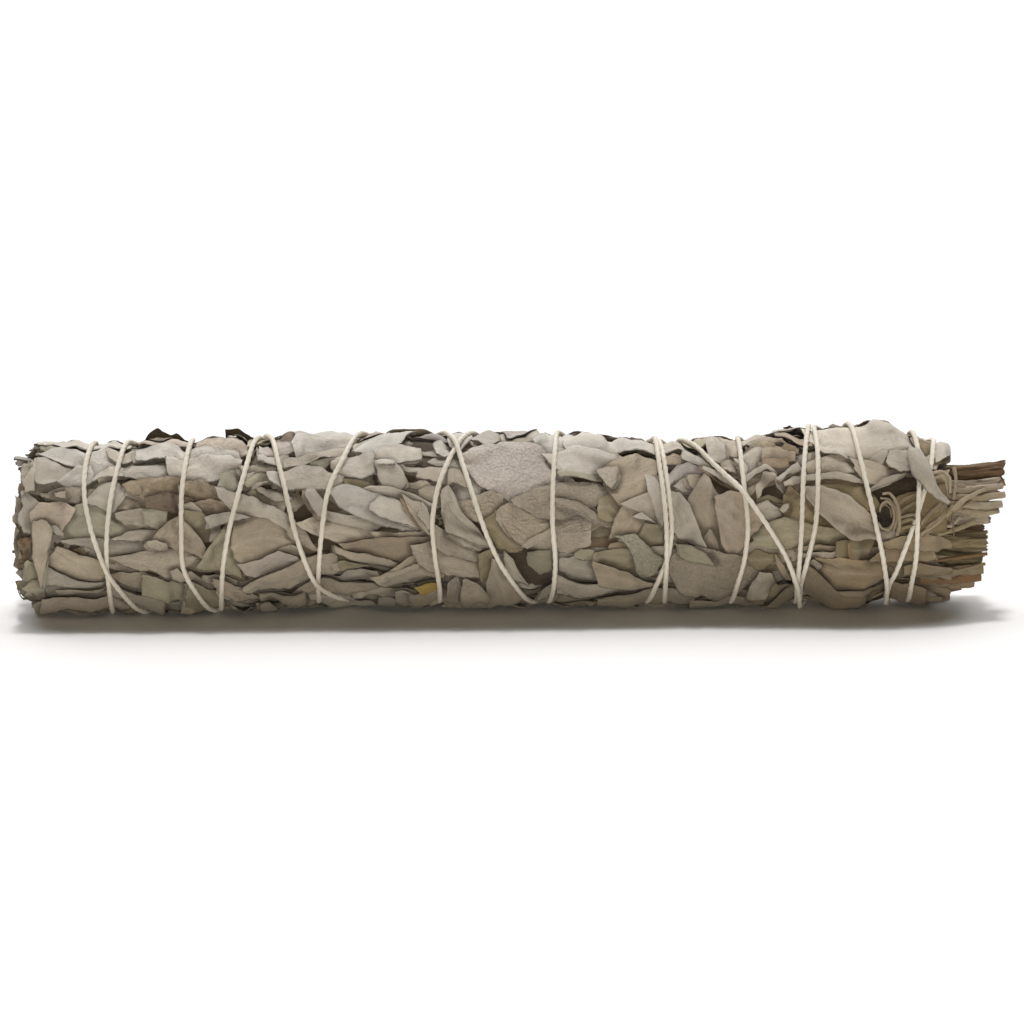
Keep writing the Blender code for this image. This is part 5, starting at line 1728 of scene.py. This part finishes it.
def keepStalk(line, radius, tone, lift):
    # a round stalk through points of the picture; radius and lift run from its start to its end, in mm
    length = stepsOf(np.asarray(line, float).reshape(-1, 2)).sum()
    count = max(stalkShape["leastPoints"], int(length / stalkShape["pixels"]))
    pixels = divided(line, count)
    x, arc, above = placeOfPixel(pixels)
    lifted = np.interp(np.linspace(0, 1, count), np.linspace(0, 1, len(lift)), lift)
    angle = angleAt(arc)
    centre = onStick(x, angle, radiusAt(x) + above + lifted)
    along = np.gradient(centre, axis=0)
    along /= np.linalg.norm(along, axis=1)[:, None]
    outward = onStick(x, angle, radiusAt(x) + 1) - onStick(x, angle, radiusAt(x))
    side = np.cross(along, outward)
    side /= np.linalg.norm(side, axis=1)[:, None] + 1e-9
    up = np.cross(side, along)
    sides = stalkShape["sides"]
    turn = 2 * math.pi * np.arange(sides) / sides
    run = np.linspace(0, 1, count)[:, None]
    reach = np.interp(run, np.linspace(0, 1, len(radius)), radius)
    share, length, start, times = stalkShape["knobs"]
    reach = reach * (1 + share * rough(run * count / length + start, turn[None, :] * times))
    cosine = np.cos(turn)[None, :, None]
    sine = np.sin(turn)[None, :, None]
    ring = centre[:, None, :] + reach[:, :, None] * (cosine * side[:, None, :] + sine * up[:, None, :])
    index = np.arange(count * sides).reshape(count, sides)
    following = np.roll(index, -1, axis=1)
    faces = [np.stack([index[:-1], following[:-1], following[1:], index[1:]], axis=2).reshape(-1, 4)]
    # a cap's face names its middle twice
    for k, (one, other) in enumerate(((following[0], index[0]), (index[-1], following[-1]))):
        cap = np.full(sides, count * sides + k)
        faces.append(np.stack([one, other, cap, cap], axis=1))
    faces = np.concatenate(faces)
    points = np.concatenate([ring.reshape(-1, 3), centre[[0, -1]]])
    # faces point outward whichever way the ring turns
    middleRing = count // 2
    first = points[index[middleRing, 0]]
    turned = np.cross(points[following[middleRing, 0]] - first, points[index[middleRing + 1, 0]] - first)
    if turned.dot(first - centre[middleRing]) < 0:
        faces = faces[:, ::-1]
    agedFrom, agedShare = stalkShape["aging"]
    aged = 1 - np.array(shading["aging"]) * (agedShare if x.mean() > agedFrom else 0.0)
    colour = np.array(tones[tone]) * rng.uniform(*stalkShape["brightness"]) * aged
    nothing = np.zeros(len(points))
    place = np.concatenate([np.repeat(run * count * stalkShape["ownLength"], sides), [0, 0]])
    keepMesh(sprigOf(x, angle), points, faces, {
        "tone": np.tile(colour, (len(points), 1)),
        "grain": nothing + stalkShape["grain"],
        "rib": nothing,
        "edge": nothing + packed["edge"],
        "ownPlace": np.stack([place, nothing, nothing + rng.uniform(*stalkShape["apart"])], axis=1),
    })


stalks = [
    # points of the picture, radii, tone, how far the stalk stands off the outline
    ("light", (930, 474, 942, 473, 950, 480, 950, 494), (0.4, 0.45, 0.35), (0.2, 0.9, 0.4)),
    ("beige", (932, 479, 941, 478, 946, 484, 947, 497), (0.35, 0.4, 0.3), (0.2, 0.7, 0.3)),
    ("beige", (953, 500, 955, 490, 956, 480, 954, 471), (0.4, 0.42, 0.5), (0.2, 0.7, 1.2)),
    ("beige", (920, 534, 935, 524, 950, 511, 966, 498, 985, 487), (0.45, 0.5, 0.65, 0.45),
     (0.1, 0.3, 0.1, -0.9)),
    ("tan", (922, 537, 940, 523, 958, 508, 972, 500), (0.35, 0.4, 0.35), (0.0, 0.0, -0.4)),
    ("light", (934, 486, 950, 488, 975, 486, 1003, 480), (0.6, 0.9, 1.0, 0.7), (-1.0, -1.1, -1.6, -2.0)),
    ("beige", (936, 492, 955, 495, 980, 495, 1005, 490), (0.6, 0.9, 1.0, 0.8), (-1.2, -1.4, -1.7, -2.0)),
    ("light", (940, 500, 960, 503, 985, 504, 1002, 501), (0.6, 1.0, 1.1, 0.9), (-1.3, -1.5, -1.8, -2.0)),
    ("beige", (944, 508, 965, 510, 985, 511, 999, 509), (0.5, 0.8, 0.8, 0.6), (-1.3, -1.5, -1.8, -2.0)),
    ("tan", (923, 521, 932, 510, 943, 501), (0.4, 0.5, 0.6), (0.1, 0.2, 0.0)),
    ("beige", (925, 528, 938, 518, 953, 506), (0.4, 0.5, 0.6), (0.0, 0.3, 0.0)),
    ("beige", (920, 524, 930, 512, 941, 502), (0.4, 0.5, 0.5), (0.0, 0.1, -0.2)),
    ("light", (940, 525, 950, 526, 960, 517), (0.3, 0.5, 0.3), (0.2, 0.5, 0.2)),
    ("beige", (882, 494, 889, 493, 894, 499, 898, 508, 899, 516, 899, 526, 896, 535), (0.3, 0.42, 0.4, 0.3),
     (0.2, 0.8, 0.3)),
    ("beige", (879, 512, 881, 504, 887, 501, 892, 506, 894, 514, 893, 523, 888, 529, 881, 528, 878, 522),
     (0.2, 0.4, 0.25, 0.35, 0.2), (0.2, 0.6, 0.1)),
    ("tan", (880, 507, 885, 504, 890, 509, 891, 517), (0.2, 0.3, 0.2), (0.1, 0.3, 0.1)),
    ("beige", (880, 498, 889, 499, 895, 507, 897, 518, 893, 530), (0.25, 0.3, 0.25), (0.1, 0.3, 0.1)),
    ("olive", (898, 513, 906, 507, 916, 502), (0.45, 0.45, 0.4), (-0.2, 0.0, -0.2)),
    ("beige", (900, 517, 908, 515, 916, 514), (0.4, 0.5, 0.4), (-0.2, 0.0, -0.2)),
    ("olive", (901, 528, 908, 526, 916, 524), (0.4, 0.45, 0.4), (-0.2, 0.0, -0.2)),
    ("tan", (896, 506, 905, 499, 916, 494), (0.45, 0.5, 0.4), (-0.3, -0.1, -0.3)),
    ("olive", (900, 522, 909, 519, 917, 518), (0.45, 0.5, 0.4), (-0.3, -0.1, -0.3)),
    ("olive", (930, 537, 950, 531, 975, 521), (0.5, 0.6, 0.6), (-0.8, -0.6, -0.8)),
    ("tan", (930, 490, 945, 486, 965, 484), (0.6, 0.7, 0.6), (-0.8, -0.4, -0.8)),
    ("olive", (918, 577, 945, 575, 983, 570), (0.8, 1.3, 1.2), (-1.6, -1.2, -0.8)),
    ("rust", (920, 585, 950, 583, 981, 579), (0.8, 1.4, 1.1), (-1.5, -1.2, -0.9)),
    ("tan", (922, 592, 945, 591, 974, 588), (0.7, 1.2, 0.9), (-1.5, -1.3, -1.2)),
    ("rust", (925, 597, 942, 596, 962, 595), (0.6, 0.9, 0.7), (-1.6, -1.4, -1.3)),
    ("tan", (938, 570, 958, 571, 985, 565), (0.3, 0.45, 0.4), (-0.2, -0.4, -0.6)),
    ("rust", (935, 562, 960, 559, 987, 556), (0.3, 0.5, 0.4), (-0.6, -1.0, -1.2)),
]
for tone, line, radii, lift in stalks:
    keepStalk(line, radii, tone, lift)

twisted = {
    # lies over two strands of the string
    "first": (911, 450, 921, 453, 930, 468, 936, 487, 949, 501),
    "second": (909, 462, 913, 478, 925, 490, 936, 499, 946, 503),
    "spacing": 0.5,
    "lift": 1.5,
    "liftShares": (0.3, 0.7, 0.8),
    "sunk": 0.3,
    "arch": 1.3,
    "waves": (0.15, 4, 1.2),
    "thickness": 0.4,
    "tone": "light",
    "edgeShade": 0.12,
    "spots": (0.06, 3, 1),
    "grain": 0.2,
    "ownPlace": 55.0,
    # painted shadow line: thinner at the upper, lit edge
    "darkEdge": 0.3,
}


def keepTwistedLeaf():
    grid, x, arc, _ = betweenPixels(twisted["first"], twisted["second"], twisted["spacing"])
    angle = angleAt(arc)
    along, across, v = grid["along"], grid["across"], grid["v"]
    least, more, power = twisted["liftShares"]
    radius = radiusAt(x) + twisted["lift"] * (least + more * np.sin(math.pi * grid["u"] ** power))
    radius = radius + twisted["arch"] * (1 - v ** 2) - twisted["sunk"]
    radius = radius + waved(twisted["waves"], along, across)
    made = sheetRound(x, angle, radius, twisted["thickness"])
    shade = 1 - twisted["edgeShade"] * v ** 4 + waved(twisted["spots"], along, across)
    tone = np.array(tones[twisted["tone"]]) * shade[:, :, None]
    edge = edgeDistance(grid, arc, twisted["darkEdge"])
    place = (along, across, twisted["ownPlace"])
    keepSheet(sprigOf(x, angle), made, tone, twisted["grain"], 0, edge, place)


keepTwistedLeaf()


def cornersOf(face):
    # a face that names a corner twice is a triangle
    if face[2] == face[3]:
        return face[:3]
    return face[1:] if face[0] == face[1] else face


def buildSprigs():
    for number, group in enumerate(sprigs, 1):
        points = np.concatenate(group["points"])
        faces = [cornersOf(face) for face in np.concatenate(group["faces"]).tolist()]
        made = addPiece(f"sageLeaves{number}", points, faces, finishes["leaf"])
        for name, (kind, field) in attributes.items():
            values = np.concatenate(group[name])
            if name == "tone":
                values = np.pad(values, ((0, 0), (0, 1)), constant_values=1.0)
            layer = made.data.attributes.new(name, kind, "POINT")
            layer.data.foreach_set(field, values.astype(np.float32).ravel())
        standFor(made, f"leafy_sprig_{number}")


buildSprigs()


# String: Geometry Nodes twist a three-ply cord along the wound line, the knot and the two tails

cord = {
    "Radius": 0.575,
    "Step": 0.55,
    "Ply depth": 0.09,
    "Turns per mm": 0.16,
    "Fuzz": 0.1,
    "fuzzScale": 900.0,
    "sides": 12,
    "smoothing": 1.2,
    "knotPoints": 40,
    "knotSize": (1.7, 1.1, 0.9),
    "knotReach": 2.6,  # of the loop before it is scaled
    "knotLift": 0.5,
    "knotShift": 0.5,
    "tails": ((-1, 7.01), (1, 9.35)),  # way round the stick, reach along it
    "tailPoints": 16,
    "tailStart": 3.0,
    "tailTurn": 16.0,
    "tailLift": 0.75,
    "tailArch": 0.8,
    "tailArchTurn": 2.6,
}


def cordLines():
    wound = onStick(routeX, routeTurn, blurred(routeRadius, cord["smoothing"]))
    x = string["knotX"] - cord["knotShift"]
    turn = string["knotAngle"]
    base = float(stringBase(string["knotX"], turn))
    centre = onStick(x, turn, base + cord["knotLift"])
    outward = onStick(x, turn, 1.0) - onStick(x, turn, 0.0)
    sides = np.array([(1.0, 0.0, 0.0), np.cross(outward, (1.0, 0.0, 0.0)), outward])
    t = np.linspace(0, 2 * math.pi, cord["knotPoints"], endpoint=False)
    loop = [np.sin(t) + 2 * np.sin(2 * t), np.cos(t) - 2 * np.cos(2 * t), -2 * np.sin(3 * t)]
    knot = centre + np.stack(loop, axis=1) / cord["knotReach"] * np.array(cord["knotSize"]) @ sides
    lines = [(wound, False), (knot, True)]
    for way, reach in cord["tails"]:
        s = np.linspace(0, 1, cord["tailPoints"])
        tailX = x + s * reach
        tailTurn = turn + way * s * cord["tailTurn"] + cord["tailStart"]
        lift = cord["tailLift"] + cord["tailArch"] * np.sin(s * cord["tailArchTurn"])
        lines.append((onStick(tailX, tailTurn, radiusAt(tailX) + lift), False))
    return lines


def cordTree():
    tree = bpy.data.node_groups.new("twistedCord", "GeometryNodeTree")

    def socket(name, kind, way="INPUT"):
        return tree.interface.new_socket(name, in_out=way, socket_type="NodeSocket" + kind)

    socket("Lines", "Geometry")
    numbers = ("Radius", "Step", "Ply depth", "Turns per mm", "Fuzz")
    sockets = {name: socket(name, "Float") for name in numbers}
    sockets["Material"] = socket("Material", "Material")
    socket("Cord", "Geometry", "OUTPUT")
    made = Nodes(tree)
    given = tree.nodes.new("NodeGroupInput")

    def value(name):
        return Wire(made, given.outputs[name])

    curve = made.node("GeometryNodeMeshToCurve", None, {"Mesh": value("Lines")})
    spacing = {"Curve": curve, "Length": value("Step") * mm}
    even = made.node("GeometryNodeResampleCurve", {"mode": "LENGTH"}, spacing)
    length = made.node("GeometryNodeSplineParameter", None, None, "Length")
    tilt = length * value("Turns per mm") * (2 * math.pi / mm)
    twistedLine = made.node("GeometryNodeSetCurveTilt", None, {"Curve": even, "Tilt": tilt})
    size = {"Resolution": cord["sides"], "Radius": value("Radius") * mm}
    ring = made.node("GeometryNodeCurvePrimitiveCircle", None, size, "Curve")
    ply = made.sum("COSINE", made.node("GeometryNodeInputIndex") * (math.pi / 2), 0.0)
    swell = value("Ply depth") * ply + 1.0
    place = made.node("GeometryNodeInputPosition")
    scaled = made.node("ShaderNodeVectorMath", {"operation": "SCALE"}, {"Vector": place, "Scale": swell})
    section = made.node("GeometryNodeSetPosition", None, {"Geometry": ring, "Position": scaled})
    sweep = {"Curve": twistedLine, "Profile Curve": section, "Fill Caps": True}
    body = made.node("GeometryNodeCurveToMesh", None, sweep)
    noise = made.node("ShaderNodeTexNoise", None, {"Scale": cord["fuzzScale"], "Detail": 2.0}, "Fac")
    push = (noise - 0.5) * value("Fuzz") * mm * 2.0
    normal = made.node("GeometryNodeInputNormal")
    offset = made.node("ShaderNodeVectorMath", {"operation": "SCALE"}, {"Vector": normal, "Scale": push})
    fuzzy = made.node("GeometryNodeSetPosition", None, {"Geometry": body, "Offset": offset})
    whole = made.node("GeometryNodeRealizeInstances", None, {"Geometry": fuzzy})
    painted = made.node("GeometryNodeSetMaterial", None, {"Geometry": whole, "Material": value("Material")})
    result = tree.nodes.new("NodeGroupOutput")
    made.put(result.inputs["Cord"], painted)
    return tree, sockets


def buildString():
    points = []
    edges = []
    lines = cordLines()
    lengths = [np.linalg.norm(np.diff(line, axis=0), axis=1).sum() for line, closed in lines]
    print("string length, mm:", round(sum(lengths)))
    for line, closed in lines:
        start = len(points)
        points.extend((line * mm).tolist())
        edges.extend((k, k + 1) for k in range(start, len(points) - 1))
        if closed:
            edges.append((len(points) - 1, start))
    mesh = bpy.data.meshes.new("cordLines")
    mesh.from_pydata(points, edges, [])
    made = bpy.data.objects.new("cottonString", mesh)
    bpy.context.scene.collection.objects.link(made)
    tree, sockets = cordTree()
    maker = made.modifiers.new("cord", "NODES")
    maker.node_group = tree
    for name, socket in sockets.items():
        maker[socket.identifier] = finishes["cotton"] if name == "Material" else cord[name]
    graph = bpy.context.evaluated_depsgraph_get()
    result = bpy.data.meshes.new_from_object(made.evaluated_get(graph))
    made.modifiers.remove(maker)
    made.data = result
    result.shade_smooth()
    standFor(made, "cotton_string")


buildString()


# Woody stems, fibrous and frayed where they were cut

stems = {
    "rings": [(0.0, 1, 2.8), (6.0, 6, 2.45), (11.6, 11, 2.7)],  # ring radius, count, stem radius
    "firstAngle": 87.0,
    "spread": [(-114, 0.36), (30, 0.36), (45, 0.42), (65, 0.57), (85, 0.76), (98, 0.89), (114, 1.0)],
    "lengths": (70.0, 120.0),
    "seed": 77,
    "thickness": (0.9, 1.06),
    "wander": (2.0, 17.0),  # degrees, and the length over which it goes
    "nearEnds": (114.0, 112.5, 110.5, 109.5, 108.5, 106.5),
    "otherEnds": (104.0, 110.5),
    "bendMargins": (5, 8),
    "sides": 40,
    "fineFrom": 84.0,
    "steps": (6.0, 0.6),  # before and after that
    "slimmer": (0.8, 0.18, 20),  # share of the radius at the root, what it gains, and over what length
    "groove": 0.22,
    # share, how often round the stem, and the length over which it changes: grooves, knobs and a split
    "grooves": ((0.45, 2.6, 14), (0.55, 6.1, 9), (0.3, 5.0, 1.6)),
    "seam": 0.8,
    "fray": 1.1,
    "frayLength": 5,
    "mostFray": 0.6,
    "fibres": ((0.5, 1.6, 3.0), (0.75, 6.2, 8.0)),
    "cut": ((0.72, 0.5), (0.4, 1.0)),  # share of the radius, and depth of each ring
    "cutRough": (0.35, 4, 9),
    "cutDepth": 1.2,
}


def stemSpread(x):
    places, shares = zip(*stems["spread"])
    return np.interp(x, places, shares)


def buildStem(name, ringRadius, angle, stemRadius, endX, draws):
    rootX = endX - draws.uniform(*stems["lengths"])
    # the solids draw their bends here
    before, after = stems["bendMargins"]
    for x, _ in stems["spread"]:
        if rootX + before < x < endX - after:
            draws.uniform(0.95, 1.0)
    draws.uniform(-0.5, 0.5)
    coarse, fine = stems["steps"]
    fineFrom = max(stems["fineFrom"], rootX + 2 * coarse)
    x = np.concatenate([np.arange(rootX, fineFrom, coarse), np.arange(fineFrom, endX - fine / 2, fine)])
    sides = stems["sides"]
    turn = 2 * math.pi * np.arange(sides) / sides
    own = random.Random(name).uniform(0, 60)
    grooves = 0
    for size, times, length in stems["grooves"]:
        grooves = grooves + size * rough(turn[None, :] * times + own, x[:, None] / length + own)
    least, gain, length = stems["slimmer"]
    share = least + gain * np.clip((x - rootX) / length, 0, 1)
    reachOut = stemRadius * stemSpread(x)[:, None] * share[:, None] * (1 + stems["groove"] * grooves)
    # the two ends of the seam meet
    seam = np.clip(turn / stems["seam"], 0, 1)
    reachOut = reachOut * seam + reachOut[:, -1:] * (1 - seam)
    degrees, length = stems["wander"]
    centre = onStick(x, angle + degrees * np.sin(x / length), ringRadius * stemSpread(x))
    ring = [np.zeros_like(reachOut), reachOut * np.cos(turn)[None, :], reachOut * np.sin(turn)[None, :]]
    points = centre[:, None, :] + np.stack(ring, axis=2)
    # fibres end unevenly
    tail = np.clip((x - (endX - stems["frayLength"])) / stems["frayLength"], 0, 1)[:, None] ** 2
    fray = stems["fray"] * sum(size * rough(turn * times + own, row) for size, times, row in stems["fibres"])
    fray = fray * seam + fray[-1] * (1 - seam)
    points[:, :, 0] += tail * np.minimum(fray, stems["mostFray"])[None, :]
    inner = points[-1].copy()
    rings = [points.reshape(-1, 3)]
    size, times, row = stems["cutRough"]
    for shrink, back in stems["cut"]:
        spot = centre[-1] + (inner - centre[-1]) * np.array([1.0, shrink, shrink])
        evened = inner[:, 0] * 0.5 + centre[-1, 0] * 0.5
        spot[:, 0] = evened - back + size * rough(turn * times + own, shrink * row)
        rings.append(spot)
    points = np.concatenate([*rings, [centre[-1] - np.array([stems["cutDepth"], 0, 0])], [centre[0]]])
    count = len(x) + len(stems["cut"])
    index = np.arange(count * sides).reshape(count, sides)
    following = np.roll(index, -1, axis=1)
    walls = np.stack([index[:-1], index[1:], following[1:], following[:-1]], axis=2).reshape(-1, 4)
    tip = count * sides
    faces = [tuple(face[::-1]) for face in walls.tolist()]
    faces += [(int(a), int(b), tip) for a, b in zip(index[-1], following[-1])]
    faces += [(int(b), int(a), tip + 1) for a, b in zip(index[0], following[0])]
    slot = next(part["material_slot"] for part in frame["record"]["subparts"] if part["node"] == name)
    finish = finishes[slot.replace("stem_", "")]
    standFor(addPiece(name.replace("woody_stem_", "woodyStem"), points, faces, finish), name)


def buildStems():
    draws = random.Random(stems["seed"])
    number = 0
    for ringRadius, count, stemRadius in stems["rings"]:
        for k in range(count):
            number += 1
            near = ringRadius == stems["rings"][-1][0] and k < len(stems["nearEnds"])
            endX = stems["nearEnds"][k] if near else draws.uniform(*stems["otherEnds"])
            angle = stems["firstAngle"] - 360.0 * k / count
            radius = stemRadius * draws.uniform(*stems["thickness"])
            buildStem(f"woody_stem_{number:02d}", ringRadius, angle, radius, endX, draws)


buildStems()


# Table and light

tableHalf = 12.0 / mm


def buildTable():
    ways = ((-1, -1), (1, -1), (1, 1), (-1, 1))
    corners = [(x * tableHalf, y * tableHalf, 0) for x, y in ways]
    addPiece("tableTop", corners, [(0, 1, 2, 3)], finishes["table"], 30.0)


light = {
    # strength, softness and tilt towards the viewer in degrees, colour
    "key": (1.4, 9.0, -15.0, (1.0, 1.0, 1.0)),
    "softbox": (3.1, 80.0, -40.0, (1.0, 1.0, 1.0)),
    "fill": (1.35, 16.0, 86.0, (1.0, 0.94, 0.84)),
}
sky = {"Color": (1.0, 0.9, 0.7, 1.0), "Strength": 0.03}


def buildLight():
    for name, (strength, softness, tilt, colour) in light.items():
        data = bpy.data.lights.new(name, "SUN")
        data.energy = strength
        data.angle = math.radians(softness)
        data.color = colour
        lamp = bpy.data.objects.new(name, data)
        lamp.rotation_euler = (math.radians(tilt), 0.0, 0.0)
        bpy.context.scene.collection.objects.link(lamp)
    world = bpy.data.worlds.new("paleRoom")
    world.use_nodes = True
    background = world.node_tree.nodes["Background"]
    for socket, value in sky.items():
        background.inputs[socket].default_value = value
    bpy.context.scene.world = world
    bpy.context.scene.view_settings.view_transform = "Standard"


buildTable()
buildLight()
print("table and light made")
